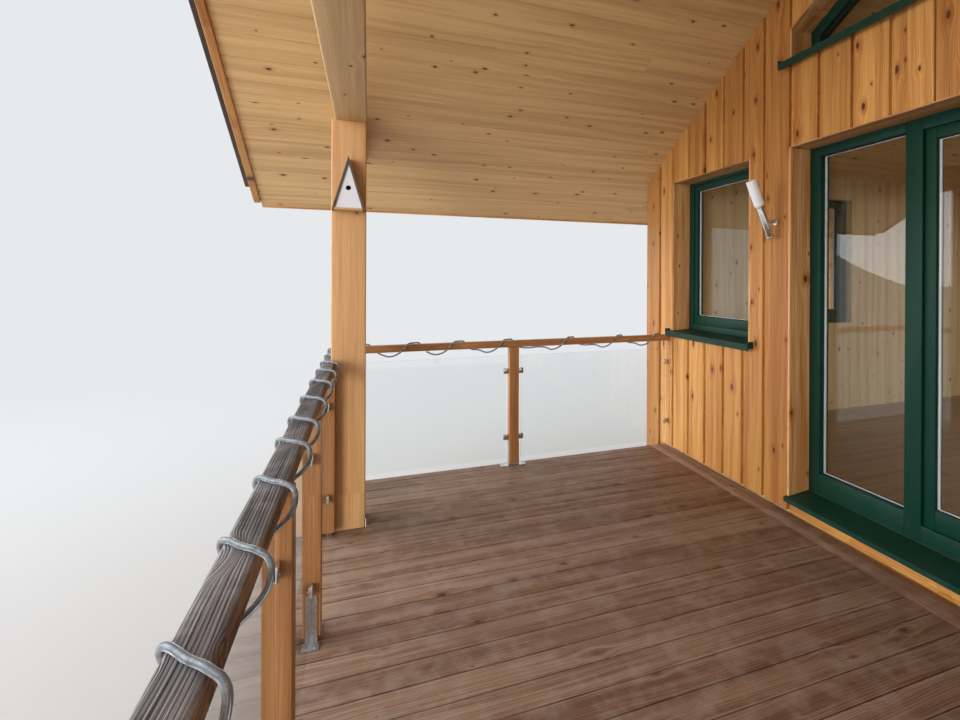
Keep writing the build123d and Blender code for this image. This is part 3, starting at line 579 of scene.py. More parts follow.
def build_patch_group():
    """Soft patches, for weathering, dust and stains."""
    group, given, result = new_group(
        "Weather patches",
        [
            ("Vector", "Vector", None),
            ("Color", "Color", (0.5, 0.5, 0.5, 1)),
            ("Patch Colour", "Color", (0.5, 0.5, 0.5, 1)),
            ("Amount", "Float", 0.3),
            ("Scale", "Float", 3.0),
        ],
        [("Color", "Color"), ("Mask", "Float")],
    )
    large = noise(group, given["Vector"], given["Scale"], 4.0, 0.6)
    mask = calc(group, "MULTIPLY", ramp(group, large, 0.42, 0.68), given["Amount"])
    wire(group, blend_colour(group, mask, given["Color"], given["Patch Colour"]), result["Color"])
    wire(group, mask, result["Mask"])
    return group


def new_material(name, colour_value, rough=0.5, **settings):
    """A material with its shader, and the shader's plain values set."""
    material = bpy.data.materials.new(name)
    material.use_nodes = True
    shader = material.node_tree.nodes["Principled BSDF"]
    shader.inputs["Base Color"].default_value = (*colour_value, 1)
    shader.inputs["Roughness"].default_value = rough
    for key, value in settings.items():
        shader.inputs[key.replace("_", " ").title().replace("Ior", "IOR")].default_value = value
    material.diffuse_color = (*colour_value, 1)
    return material, material.node_tree, shader


def raise_bump(tree, shader, height, distance, strength=1.0):
    """Lets a height shape the surface."""
    bump = node(tree, "ShaderNodeBump")
    wire(tree, distance, bump.inputs["Distance"])
    wire(tree, strength, bump.inputs["Strength"])
    wire(tree, height, bump.inputs["Height"])
    wire(tree, bump.outputs[0], shader.inputs["Normal"])


# Turns that lay a piece's grain along X, for grain that runs along each axis
ALONG_X = (0, 0, 0)
ALONG_Y = (0, 0, -math.pi / 2)
ALONG_Z = (0, math.pi / 2, 0)


def object_place(tree, turn=ALONG_X):
    """Object coordinates, turned so that the grain runs along X."""
    place = node(tree, "ShaderNodeTexCoord")
    mapping = node(tree, "ShaderNodeMapping", vector_type="POINT")
    wire(tree, place.outputs["Object"], mapping.inputs["Vector"])
    mapping.inputs["Rotation"].default_value = turn
    return mapping.outputs[0]


def add_patches(tree, colour_source, patch_colour, amount, scale):
    """A Weather patches node over a colour or another node's colour."""
    patches = node(
        tree, "ShaderNodeGroup", node_tree=bpy.data.node_groups["Weather patches"]
    )
    wire(tree, object_place(tree), patches.inputs["Vector"])
    wire(tree, colour_source, patches.inputs["Color"])
    patches.inputs["Patch Colour"].default_value = (*patch_colour, 1)
    patches.inputs["Amount"].default_value = amount
    patches.inputs["Scale"].default_value = scale
    return patches.outputs


def timber(
    name, base, dark, knots, rough=0.55, turn=None, bump=0.0006, weather=None, flank_shade_and_tint=None,
    **grain,
):
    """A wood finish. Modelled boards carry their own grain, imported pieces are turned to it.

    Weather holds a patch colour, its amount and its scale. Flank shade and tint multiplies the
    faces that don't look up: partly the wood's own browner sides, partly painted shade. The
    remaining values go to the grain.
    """
    material, tree, shader = new_material(name, base, rough)
    group = node(tree, "ShaderNodeGroup", node_tree=bpy.data.node_groups["Timber grain"])
    if turn is None:
        held = node(tree, "ShaderNodeAttribute", attribute_name="grain")
        tone = node(tree, "ShaderNodeAttribute", attribute_name="tone")
        wire(tree, held.outputs["Vector"], group.inputs["Vector"])
        wire(tree, tone.outputs["Fac"], group.inputs["Tone"])
    else:
        wire(tree, object_place(tree, turn), group.inputs["Vector"])
    for label, value in (("Base", base), ("Dark", dark), ("Knot Colour", knots)):
        group.inputs[label].default_value = (*value, 1)
    for label, value in grain.items():
        group.inputs[label.replace("_", " ").title()].default_value = value
    result = group.outputs["Color"]
    if weather:
        result = add_patches(tree, result, *weather)["Color"]
    # Painted shade: faces that don't look up are darkened and browned, partly for the wood's own
    # browner sides
    if flank_shade_and_tint:
        normal = node(tree, "ShaderNodeSeparateXYZ")
        wire(tree, node(tree, "ShaderNodeTexCoord").outputs["Normal"], normal.inputs[0])
        level = ramp(tree, normal.outputs[2], 0.25, 0.9, 1.0, 0.0)
        result = blend_colour(tree, level, result, (*flank_shade_and_tint, 1), "MULTIPLY")
    wire(tree, result, shader.inputs["Base Color"])
    raise_bump(tree, shader, group.outputs["Height"], bump)
    return material


def painted(name, base, rough, dust, **settings):
    """A coated surface with a faint brush or roller texture and a little dust."""
    material, tree, shader = new_material(name, base, rough, **settings)
    dusty = [part * 0.8 + 0.06 for part in base]
    patches = add_patches(tree, (*base, 1), dusty, dust, 5.0)
    wire(tree, patches["Color"], shader.inputs["Base Color"])
    wire(tree, calc(tree, "ADD", patches["Mask"], rough), shader.inputs["Roughness"])
    raise_bump(tree, shader, noise(tree, object_place(tree), 350), 0.0004, 0.4)
    return material


def metal(name, base, rough, spangle=0.0, scale=60.0):
    """A bare metal with a zinc spangle or fine brushing."""
    material, tree, shader = new_material(name, base, rough, metallic=1.0)
    place = object_place(tree)
    flakes = node(tree, "ShaderNodeTexVoronoi", feature="F1")
    wire(tree, place, flakes.inputs["Vector"])
    wire(tree, scale, flakes.inputs["Scale"])
    split = node(tree, "ShaderNodeSeparateColor")
    wire(tree, flakes.outputs["Color"], split.inputs[0])
    tint = [part * (1 - spangle) for part in base]
    mixed = blend_colour(tree, split.outputs[0], (*tint, 1), (*base, 1))
    wire(tree, mixed, shader.inputs["Base Color"])
    fine = calc(tree, "MULTIPLY", calc(tree, "SUBTRACT", noise(tree, place, 90, 3.0), 0.5), 0.2)
    wire(tree, calc(tree, "ADD", fine, rough, clamp=True), shader.inputs["Roughness"])
    return material


def build_finishes(colours):
    """Makes the node groups and returns all the finishes by name."""
    build_timber_group()
    build_patch_group()
    knots = colours.knots
    larch = dict(
        knot_amount=0.75, knot_size=0.056, ring_density=75.0, ring_strength=0.36,
        fibre_strength=0.6, tone_spread=0.42,
    )
    spruce = dict(
        knot_amount=0.85, knot_size=0.040, ring_density=110.0, ring_strength=0.2,
        fibre_strength=0.35, tone_spread=0.1,
    )
    oiled = dict(
        knot_amount=0.55, knot_size=0.05, ring_density=80.0, ring_strength=0.45,
        fibre_strength=0.8, tone_spread=0.3,
    )
    clear = dict(larch, knot_amount=0.3, tone_spread=0.16)
    worn_deck, silvered = (0.38, 0.30, 0.25), (0.45, 0.455, 0.50)
    frame_wood = ((0.23, 0.15, 0.09), (0.12, 0.07, 0.04), knots)
    floor_wood = ((0.30, 0.19, 0.11), (0.16, 0.09, 0.045), knots)
    nest_wood = ((0.17, 0.14, 0.11), (0.09, 0.07, 0.055), knots)
    verge_wood = (colours.dark_board, [part * 0.5 for part in colours.dark_board], knots)
    return {
        "larch": timber("Larch", colours.larch, colours.larch_dark, knots, 0.5, **larch),
        "lining": timber("Reveal boards", colours.lining, colours.larch_dark, knots, 0.5, **larch),
        "spruce": timber(
            "Spruce ceiling", colours.spruce, colours.spruce_dark, knots, 0.6, **spruce
        ),
        "post": timber("Larch posts", colours.post, colours.post_dark, knots, 0.55, **clear),
        "bar": timber("Railing larch", colours.bar, colours.bar_dark, knots, 0.5, **clear),
        "sill": timber(
            "Sill board", colours.larch, colours.larch_dark, knots, 0.5, ALONG_X, **larch
        ),
        "deck": timber(
            "Deck boards", colours.deck, colours.deck_dark, knots, 0.62, bump=0.0012,
            weather=(worn_deck, 0.32, 9.0), **oiled,
        ),
        # The handrail's sides are darker and browner than its top: partly the wood's own tone,
        # partly painted shade
        "rail": timber(
            "Weathered handrail", colours.rail, colours.rail_dark, knots, 0.8, bump=0.003,
            weather=(silvered, 0.45, 7.0), flank_shade_and_tint=(0.95, 0.60, 0.34), knot_amount=0.4,
            knot_size=0.06, ring_density=150.0, ring_strength=0.7, fibre_strength=0.7,
            tone_spread=0.2,
        ),
        "dark": timber("Verge boards", *verge_wood, 0.6, **oiled),
        "joists": timber("Deck joists", *frame_wood, 0.7, ALONG_X, **oiled),
        "bearers": timber("Deck bearers", *frame_wood, 0.7, ALONG_Y, **oiled),
        "room": timber(
            "Room walls", colours.room, colours.spruce_dark, knots, 0.6, ALONG_Z, **spruce
        ),
        "floor": timber("Room floor", *floor_wood, 0.4, ALONG_Y, **oiled),
        "nest": timber("Nest box boards", *nest_wood, 0.7, **oiled),
        "green": painted("Green paint", colours.green, 0.42, 0.06, ior=1.32),
        "green_sheet": painted("Green sheet", colours.green, 0.5, 0.1, ior=1.35),
        "roof": painted("Roof sheet", colours.roof, 0.45, 0.1, metallic=0.3),
        "white": painted("White boards", (0.72, 0.72, 0.76), 0.6, 0.2),
        "gasket": painted("Gasket", (0.012, 0.012, 0.012), 0.55, 0.1),
        "spacer": painted("Glazing spacer", (0.52, 0.53, 0.54), 0.4, 0.1),
        "zinc": metal("Galvanised steel", (0.74, 0.77, 0.80), 0.38, 0.25, 140.0),
        "screw": metal("Screw heads", (0.30, 0.28, 0.26), 0.45, 0.2),
        "steel": metal("Polished steel", (0.78, 0.79, 0.81), 0.16, 0.06),
        "glass": build_glass("Clear glass", (0.965, 0.99, 0.98)),
        "glazing": build_glass("Window glazing", (0.90, 0.95, 0.94)),
        "tube": build_tube(),
        "wires": metal("Rope wires", (0.42, 0.46, 0.50), 0.35, 0.5, 220.0),
        "lamp": build_lamp(),
        "concrete": build_concrete(colours.concrete),
    }


def build_glass(name, tint):
    """Clear glass with a faint tint that lets the light of the studio through."""
    material, tree, shader = new_material(name, tint, 0.0, ior=1.45)
    shader.inputs["Transmission Weight"].default_value = 1.0
    film = noise(tree, object_place(tree), 3.0, 3.0)
    deeper = tuple(part * 0.97 for part in tint)
    wire(tree, blend_colour(tree, film, (*tint, 1), (*deeper, 1)), shader.inputs["Base Color"])
    path = node(tree, "ShaderNodeLightPath")
    clear = node(tree, "ShaderNodeBsdfTransparent")
    clear.inputs["Color"].default_value = (*tint, 1)
    mixed = node(tree, "ShaderNodeMixShader")
    passing = calc(tree, "MAXIMUM", path.outputs["Is Shadow Ray"], path.outputs["Is Diffuse Ray"])
    wire(tree, passing, mixed.inputs[0])
    tree.links.new(shader.outputs[0], mixed.inputs[1])
    tree.links.new(clear.outputs[0], mixed.inputs[2])
    tree.links.new(mixed.outputs[0], tree.nodes["Material Output"].inputs["Surface"])
    return material


def build_tube():
    """The clear plastic tube of the rope light, a little clouded."""
    material, tree, shader = new_material("Clear tube", (0.90, 0.94, 0.97), 0.08, ior=1.33)
    shader.inputs["Transmission Weight"].default_value = 0.8
    cloud = ramp(tree, noise(tree, object_place(tree), 70, 2.0), 0.35, 0.7)
    mixed = blend_colour(tree, cloud, (0.66, 0.72, 0.77, 1), (0.36, 0.41, 0.46, 1))
    wire(tree, mixed, shader.inputs["Base Color"])
    return material


def build_lamp():
    """The lamp's frosted diffuser."""
    material, tree, shader = new_material("Frosted diffuser", (0.86, 0.87, 0.90), 0.45)
    shader.inputs["Subsurface Weight"].default_value = 0.3
    shader.inputs["Subsurface Radius"].default_value = (0.02, 0.02, 0.02)
    cloud = noise(tree, object_place(tree), 25)
    wire(tree, ramp(tree, cloud, 0.3, 0.7, 0.4, 0.5), shader.inputs["Roughness"])
    return material


def build_concrete(base):
    """Rendered concrete with fine pores and soft stains."""
    material, tree, shader = new_material("Concrete", base, 0.85)
    place = object_place(tree)
    stains = ramp(tree, noise(tree, place, 1.6, 5.0, 0.6), 0.3, 0.7)
    darker = tuple(part * 0.72 for part in base)
    wire(tree, blend_colour(tree, stains, (*darker, 1), (*base, 1)), shader.inputs["Base Color"])
    raise_bump(tree, shader, noise(tree, place, 45, 5.0, 0.7), 0.004, 0.6)
    return material


# The finishes by name, filled by the first operator
FINISH = {}


# Operators, one for each piece or group of like pieces

class CHALET_OT_kept(bpy.types.Operator):
    """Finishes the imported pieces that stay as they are"""

    bl_idname = "chalet.kept"
    bl_label = "Finish packed pieces"

    def execute(self, context):
        FINISH.update(build_finishes(context.scene.chalet_colours))
        kept = {
            "concrete": ("plinth_side_walls", "plinth_end_walls", "deck_piers"),
            "room": (
                "front_wall_left", "front_wall_right", "front_gable_wall", "left_wall",
                "right_wall", "back_wall",
            ),
            "sill": ("front_wall_sill",),
            "floor": ("house_floor",),
            "bearers": ("deck_bearers",),
            "joists": ("deck_joists",),
            "roof": ("roof_covering", "ridge_cap"),
            "glass": ("rail_glass",),
            "glazing": ("gable_window_glass",),
            "green": ("gable_window_frames",),
            "green_sheet": ("door_threshold", "window_sills"),
            "steel": ("door_hinge_pins", "door_hinge_sleeves"),
            "zinc": ("rail_post_feet",),
            "white": ("nest_box_front",),
        }
        for finish, names in kept.items():
            for name in names:
                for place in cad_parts[name].material_slots:
                    place.material = FINISH[finish]
        return {"FINISHED"}


class CHALET_OT_cladding(bpy.types.Operator):
    """Makes the raised cladding boards and the boards behind their gaps on all four walls"""

    bl_idname = "chalet.cladding"
    bl_label = "Cladding"

    # The front's boards from the left: the middles of the gaps, the odd boards up to the door,
    # and the boards that show behind their gaps, set back from the raised ones
    FRONT_GAPS = (
        -3.141, -2.883, -2.606, -2.333, -2.060, -1.799, -1.550, -1.273, -1.009, -0.737,
    )
    FRONT_MIDDLE = ((-0.721, -0.484), (-0.370, -0.214), (-0.096, 0.144))
    FRONT_LOW_BOARDS = ((-0.453, -0.376), (-0.209, -0.101))
    SET_BACK = 0.009
    ABOVE_DECK, BESIDE_DECK, SPARE_TOP, EDGE = 0.012, 0.01, 0.05, 0.003
    BACKING_GAP = 0.001

    def front_rows(self, sizes):
        """The front's boards: uneven gaps on the left, three odd boards, then an even pitch."""
        half = sizes.clad_gap / 2
        starts = [-SIDE] + [gap + half for gap in self.FRONT_GAPS[:-1]]
        rows = [(start, gap - half) for start, gap in zip(starts, self.FRONT_GAPS)]
        rows += self.FRONT_MIDDLE
        low = self.FRONT_MIDDLE[-1][1] + sizes.clad_gap
        return rows + self.rows(low, SIDE, sizes)

    def rows(self, start, end, sizes):
        """Boards at an even pitch between two ends of a wall."""
        count = round((end - start + sizes.clad_gap) / sizes.clad_pitch)
        pitch = (end - start + sizes.clad_gap) / count
        return [(start + i * pitch, start + (i + 1) * pitch - sizes.clad_gap) for i in range(count)]

    def openings(self, side):
        """A solid that fills the openings of one wall."""
        half = WINDOW_HALF + LINING
        height = (WINDOW_SILL, HEAD + LINING)
        holes = [
            wall_box(side, (place - half, place + half), THROUGH_WALL, height)
            for wall, place in WINDOWS if wall == side
        ]
        if side == "front":
            reach = DOOR_HALF + LINING
            height = (DECK - BELOW_DECK, HEAD + LINING)
            holes.append(wall_box(side, (-reach, reach), THROUGH_WALL, height))
        pieces = [add_boxes("openings", holes)]
        if side in ("front", "back"):
            pieces.append(gable_cutter(side, LINING))
        return join("openings", *pieces)

    def execute(self, context):
        sizes = context.scene.chalet_sizes
        made = {"front": [], "back": [], "left": [], "right": []}
        for side in made:
            gable = side in ("front", "back")
            bottom = DECK + self.ABOVE_DECK if side == "front" else PLINTH_TOP
            top = APEX + self.SPARE_TOP
            start, end = (-SIDE, SIDE) if gable else (FRONT + CLADDING, BACK - CLADDING)
            rows = self.front_rows(sizes) if side == "front" else self.rows(start, end, sizes)
            beside = DECK_SIDE + self.BESIDE_DECK
            raised = []
            for row in rows:
                outside = min(abs(row[0]), abs(row[1])) > beside
                low = PLINTH_TOP if outside else bottom
                raised.append(wall_box(side, row, (0, sizes.clad_depth), (low, top)))
            if side == "front":
                raised += [
                    wall_box(side, row, (self.SET_BACK, sizes.clad_depth), (bottom, top))
                    for row in self.FRONT_LOW_BOARDS
                ]
            boards = add_boxes("boards_" + side, raised)
            behind = (sizes.clad_depth, CLADDING)
            backing = [wall_box(side, (start, end), behind, (bottom, top))]
            if side == "front":
                height = (PLINTH_TOP, bottom - self.BACKING_GAP)
                for ends in ((-SIDE, -beside), (beside, SIDE)):
                    backing.append(wall_box(side, ends, behind, height))
            backing = add_boxes("behind_" + side, backing)
            for piece in (boards, backing):
                cut_to_roof(piece)
                hollow(piece, self.openings(side))
            ease_edges(boards, self.EDGE)
            across = (1, 0, 0) if gable else (0, 1, 0)
            mark_grain(boards, (0, 0, 1), across, "boards " + side)
            mark_grain(backing, (0, 0, 1), across, "behind " + side)
            made[side] = [boards, backing]
        for name, pieces, packed in (
            ("cladding_front", made["front"], "front_cladding"),
            ("cladding_back", made["back"], "back_cladding"),
            ("cladding_sides", made["left"] + made["right"], "side_cladding"),
        ):
            piece = join(name, *pieces)
            finish_piece(piece, FINISH["larch"], [packed])
        return {"FINISHED"}


class CHALET_OT_ceiling(bpy.types.Operator):
    """Makes the two roof panels with the boards of their ceilings"""

    bl_idname = "chalet.ceiling"
    bl_label = "Ceiling"

    THICK, JOINT, BUTT, EDGE = 0.02, 0.0015, 0.001, 0.0012
    FIRST_BOARD, NEXT_BOARD, SHORTEST = (2.5, 5.5), (3.5, 5.5), 0.8
    OVERLAP, PAST_RIDGE, PAST_EAVE = 0.0005, 0.15, 0.1

    def boards(self, sign, width, slope_length, chance):
        """The boards of one slope before it is tilted, in rows with their butts at random."""
        boards = []
        rows = math.ceil(slope_length / width)
        for row in range(rows):
            reach = -self.JOINT if row < rows - 1 else self.THICK
            low, high = sorted((sign * row * width, sign * ((row + 1) * width + reach)))
            y = ROOF_FRONT
            stop = ROOF_FRONT + chance.uniform(*self.FIRST_BOARD)
            while y < ROOF_BACK:
                stop = min(stop, ROOF_BACK)
                if ROOF_BACK - stop < self.SHORTEST:
                    stop = ROOF_BACK
                boards.append(((low, y, 0), (high, stop - self.BUTT, self.THICK)))
                y, stop = stop, stop + chance.uniform(*self.NEXT_BOARD)
        return boards

    def execute(self, context):
        width = context.scene.chalet_sizes.ceiling_board
        slope_length = EAVE / math.cos(ROOF_ANGLE)
        chance = random.Random("ceiling")
        for sign, side in ((-1, "left"), (1, "right")):
            boards = self.boards(sign, width, slope_length, chance)
            skin = add_boxes("ceiling_boards_" + side, boards)
            low, high = sorted((-sign * self.PAST_RIDGE, sign * (slope_length + self.PAST_EAVE)))
            lift = self.THICK - self.OVERLAP
            box = ((low, ROOF_FRONT, lift), (high, ROOF_BACK, ROOF_THICK))
            core = add_boxes("core_" + side, [box])
            for piece in (skin, core):
                settle(piece, (0, sign * ROOF_ANGLE, 0), (0, 0, APEX))
                cut(piece, (0, 0, 0), (-sign, 0, 0))
                cut(piece, (sign * EAVE, 0, 0), (sign, 0, 0))
            ease_edges(skin, self.EDGE)
            mark_grain(skin, (0, 1, 0), roof_fall(sign), "ceiling " + side)
            mark_grain(core, (0, 1, 0), roof_fall(sign), "core " + side)
            panel = join("roof_" + side, skin, core)
            finish_piece(panel, FINISH["spruce"], ["roof_panel_" + side])
        return {"FINISHED"}


class CHALET_OT_roof_edges(bpy.types.Operator):
    """Makes the barge, verge and eave boards and the standing seams of the roof"""

    bl_idname = "chalet.roof_edges"
    bl_label = "Roof edges and seams"

    # Rows start and end beyond the ridge and the eave, where they are cut
    PAST_RIDGE, PAST_EAVE = -0.3, 4.5
    BARGE_DROP, VERGE_DROP, SLOPE_EDGE = 0.025, 0.005, 0.004
    EAVE_BOARDS, EAVE_BUTT, EAVE_EDGE = 3, 0.002, 0.003
    SEAM_START, SEAM_END, SEAM_HALF, SEAM_FOLD = 0.2, 4.5, 0.004, 0.012
    SEAM_LOW, SEAM_FOLD_LOW, SEAM_TOP, SEAM_BACK = 0.215, 0.240, 0.246, 0.001

    def slope_boards(self, name, packed, spans, end_x, drop, finish):
        """Boards down both slopes, along the front and the back edge of the roof."""
        slot, material = finish
        low = -drop * math.cos(ROOF_ANGLE)
        rows = [(self.PAST_RIDGE, self.PAST_EAVE, *span, low, ROOF_THICK) for span in spans]
        halves = sloping(name, rows, end_x, APEX)
        for half in halves:
            ease_edges(half, self.SLOPE_EDGE)
        mark_slopes(halves, name)
        finish_piece(join(name, *halves), FINISH[material], [packed])

    def eave_boards(self):
        """Boards along both eaves."""
        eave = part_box("eave_boards")
        length_each = (ROOF_BACK - ROOF_FRONT) / self.EAVE_BOARDS
        boards = []
        for low, high in ((eave[0].x, -EAVE), (EAVE, eave[1].x)):
            for i in range(self.EAVE_BOARDS):
                y = ROOF_FRONT + i * length_each
                stop = y + length_each - self.EAVE_BUTT
                boards.append(((low, y, eave[0].z), (high, stop, eave[1].z)))
        piece = add_boxes("eave", boards)
        cut_to_roof(piece, APEX + ROOF_THICK / math.cos(ROOF_ANGLE))
        ease_edges(piece, self.EAVE_EDGE)
        mark_grain(piece, (0, 1, 0), (0, 0, 1), "eave")
        finish_piece(piece, FINISH["lining"], ["eave_boards"])

    def seams(self, pitch):
        """Standing seams with their folded tops, at an even pitch over the covering."""
        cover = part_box("roof_covering")
        span = cover[1].y - cover[0].y
        count = round(span / pitch)
        inset = self.SEAM_FOLD
        rows = []
        for i in range(count + 1):
            y = cover[0].y + inset + i * (span - 2 * inset) / count
            reach = (self.SEAM_START, self.SEAM_END, y - self.SEAM_HALF)
            rows.append((*reach, y + self.SEAM_HALF, self.SEAM_LOW, self.SEAM_TOP))
            rows.append((*reach, y + self.SEAM_FOLD, self.SEAM_FOLD_LOW, self.SEAM_TOP))
        halves = sloping("seams", rows, cover[1].x - self.SEAM_BACK, APEX)
        finish_piece(join("roof_seams", *halves), FINISH["roof"])

    def execute(self, context):
        barge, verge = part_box("barge_boards"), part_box("verge_boards")
        spans = ((barge[0].y, ROOF_FRONT), (ROOF_BACK, barge[1].y))
        finish = ("larch_cladding", "larch")
        self.slope_boards("barge", "barge_boards", spans, barge[1].x, self.BARGE_DROP, finish)
        spans = ((verge[0].y, barge[0].y), (barge[1].y, verge[1].y))
        finish = ("dark_board", "dark")
        self.slope_boards("verge", "verge_boards", spans, verge[1].x, self.VERGE_DROP, finish)
        self.eave_boards()
        self.seams(context.scene.chalet_sizes.seam_pitch)
        return {"FINISHED"}


class CHALET_OT_deck(bpy.types.Operator):
    """Makes the deck boards, the board along the wall and their screws"""

    bl_idname = "chalet.deck"
    bl_label = "Deck"

    # The middle of one gap, the narrowest strip that is laid, and the room round the roof posts
    GAP_X, NARROWEST, NOTCH_GAP, EDGE = 0.216, 0.02, 0.004, 0.0035
    # Counted from the left. The deck's width takes one more, so its last strip stays open.
    BOARDS = 40
    BORDER_JOINTS, BORDER_GAP, BORDER_BUTT = (-1.405, 1.165), 0.005, 0.003
    # How far the joists under the screws lie from the wall
    JOISTS = (*(0.1 + i * 2.5 / 6 for i in range(1, 7)), 2.93)
    SCREW_RADIUS, SCREW_LENGTH, SCREW_SINK, SCREW_INSET = 0.0042, 0.002, 0.0006, 0.028

    def rows(self, low, high, pitch, gap):
        """Where each board starts and ends across the deck."""
        first = math.floor((low - self.GAP_X) / pitch)
        rows = []
        for i in range(first, first + self.BOARDS):
            start = max(low, self.GAP_X + i * pitch + gap / 2)
            end = min(high, self.GAP_X + (i + 1) * pitch - gap / 2)
            if end - start > self.NARROWEST:
                rows.append((start, end))
        return rows

    def execute(self, context):
        sizes = context.scene.chalet_sizes
        low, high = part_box("deck_floor")
        rows = self.rows(low.x, high.x, sizes.deck_pitch, sizes.deck_gap)
        boards = [((x0, low.y, low.z), (x1, high.y, high.z)) for x0, x1 in rows]
        deck = add_boxes("deck_boards", boards)
        posts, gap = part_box("main_posts"), self.NOTCH_GAP
        size = posts[1].y - posts[0].y
        notches = [
            ((x0 - gap, posts[0].y - gap, 0), (x0 + size + gap, posts[1].y + gap, 1))
            for x0 in (posts[0].x, posts[1].x - size)
        ]
        hollow(deck, add_boxes("notches", notches))
        ease_edges(deck, self.EDGE, 2)
        mark_grain(deck, (0, 1, 0), (1, 0, 0), "deck")
        finish_piece(deck, FINISH["deck"], ["deck_floor"])

        low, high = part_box("deck_border_board")
        ends = (low.x, *self.BORDER_JOINTS, high.x)
        boards = [
            ((start, low.y + self.BORDER_GAP, low.z), (end - self.BORDER_BUTT, high.y, high.z))
            for start, end in zip(ends[:-1], ends[1:])
        ]
        border = add_boxes("border_board", boards)
        ease_edges(border, self.EDGE, 2)
        mark_grain(border, (1, 0, 0), (0, 1, 0), "border")
        finish_piece(border, FINISH["deck"], ["deck_border_board"])

        self.screws(rows, notches)
        return {"FINISHED"}

    def screws(self, rows, notches):
        """Two screws in each board over each joist, but none where a roof post stands."""
        shapes = []
        for x0, x1 in rows:
            middle, reach = (x0 + x1) / 2, (x1 - x0) / 2 - self.SCREW_INSET
            for joist in self.JOISTS:
                for x in (middle - reach, middle + reach):
                    y = FRONT - joist
                    if not any(a[0] < x < b[0] and a[1] < y < b[1] for a, b in notches):
                        shapes.append({
                            "vertices": 8, "radius": self.SCREW_RADIUS,
                            "depth": self.SCREW_LENGTH, "location": (x, y, DECK - self.SCREW_SINK),
                        })
        piece = add_all("deck_screws", bpy.ops.mesh.primitive_cylinder_add, shapes)
        finish_piece(piece, FINISH["screw"])


class CHALET_OT_posts(bpy.types.Operator):
    """Makes the roof posts and the tie beam"""

    bl_idname = "chalet.posts"
    bl_label = "Roof posts and tie beam"

    JOINT, EDGE, PAST_POST = 0.22, 0.0012, 0.1
    # An edge runs along an axis from this share of its length on
    PARALLEL = 0.99

    def execute(self, context):
        chamfer = context.scene.chalet_sizes.post_chamfer
        low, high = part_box("main_posts")
        size = high.y - low.y
        rail_low, rail_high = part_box("handrail_front")
        boxes, housings = [], []
        joint = DECK + self.JOINT
        for x0 in (low.x, high.x - size):
            x1 = x0 + size
            boxes.append(((x0, low.y, low.z), (x1, high.y, joint)))
            boxes.append(((x0, low.y, joint), (x1, high.y, high.z)))
            start = (x0 - self.PAST_POST, rail_low.y, rail_low.z)
            end = (x1 + self.PAST_POST, rail_high.y, rail_high.z)
            housings.append((start, end))
        posts = add_boxes("roof_posts", boxes)
        self.chamfer(posts, 2, chamfer)
        hollow(posts, add_boxes("housings", housings))
        ease_edges(posts, self.EDGE)
        laminate(posts, (0, (low.y + high.y) / 2, 0), (0, 1, 0))
        mark_grain(posts, (0, 0, 1), (0, 1, 0), "posts")
        finish_piece(posts, FINISH["post"], ["main_posts"])

        low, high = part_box("tie_beam")
        beam = add_boxes("beam", [(low, high)])
        self.chamfer(beam, 0, chamfer)
        cut_to_roof(beam)
        ease_edges(beam, self.EDGE)
        mark_grain(beam, (1, 0, 0), (0, 1, 0), "beam")
        finish_piece(beam, FINISH["spruce"], ["tie_beam"])
        return {"FINISHED"}

    def chamfer(self, piece, axis, width):
        """Chamfers the edges that run along one axis."""
        pick(piece)
        bpy.ops.object.mode_set(mode="EDIT")
        bpy.ops.mesh.select_all(action="DESELECT")
        graph = bmesh.from_edit_mesh(piece.data)
        for edge in graph.edges:
            way = edge.verts[1].co - edge.verts[0].co
            if abs(way.normalized()[axis]) > self.PARALLEL:
                edge.select_set(True)
        bmesh.update_edit_mesh(piece.data)
        bpy.ops.mesh.bevel(offset=width, segments=2)
        bpy.ops.object.mode_set(mode="OBJECT")


class CHALET_OT_railing(bpy.types.Operator):
    """Makes the railing's posts and handrails"""

    bl_idname = "chalet.railing"
    bl_label = "Railing"

    POST_EDGE, RAIL_EDGE = 0.004, 0.009

    def execute(self, context):
        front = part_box("handrail_front")
        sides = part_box("handrails_side")
        low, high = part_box("rail_posts")
        rail_y = (front[0].y + front[1].y) / 2
        half = RAIL_POST_HALF
        corner = high.x - half
        spots = [(x, rail_y) for x in (-corner, *FRONT_RAIL_POSTS, corner)]
        spots += [(-corner, high.y - half), (corner, high.y - half)]
        posts = add_boxes(
            "railing_posts",
            [((x - half, y - half, low.z), (x + half, y + half, high.z)) for x, y in spots],
        )
        ease_edges(posts, self.POST_EDGE, 2)
        mark_grain(posts, (0, 0, 1), (0, 1, 0), "railing posts")
        finish_piece(posts, FINISH["bar"], ["rail_posts"])

        bar = add_boxes("handrail", [front])
        ease_edges(bar, self.RAIL_EDGE, 3)
        mark_grain(bar, (1, 0, 0), (0, 1, 0), "handrail")
        finish_piece(bar, FINISH["rail"], ["handrail_front"])

        width = front[1].y - front[0].y
        low, high = sides
        bar = add_boxes(
            "side_handrails",
            [(low, (low.x + width, high.y, high.z)), ((high.x - width, low.y, low.z), high)],
        )
        ease_edges(bar, self.RAIL_EDGE, 3)
        mark_grain(bar, (0, 1, 0), (1, 0, 0), "side handrails")
        finish_piece(bar, FINISH["bar"], ["handrails_side"])
        return {"FINISHED"}


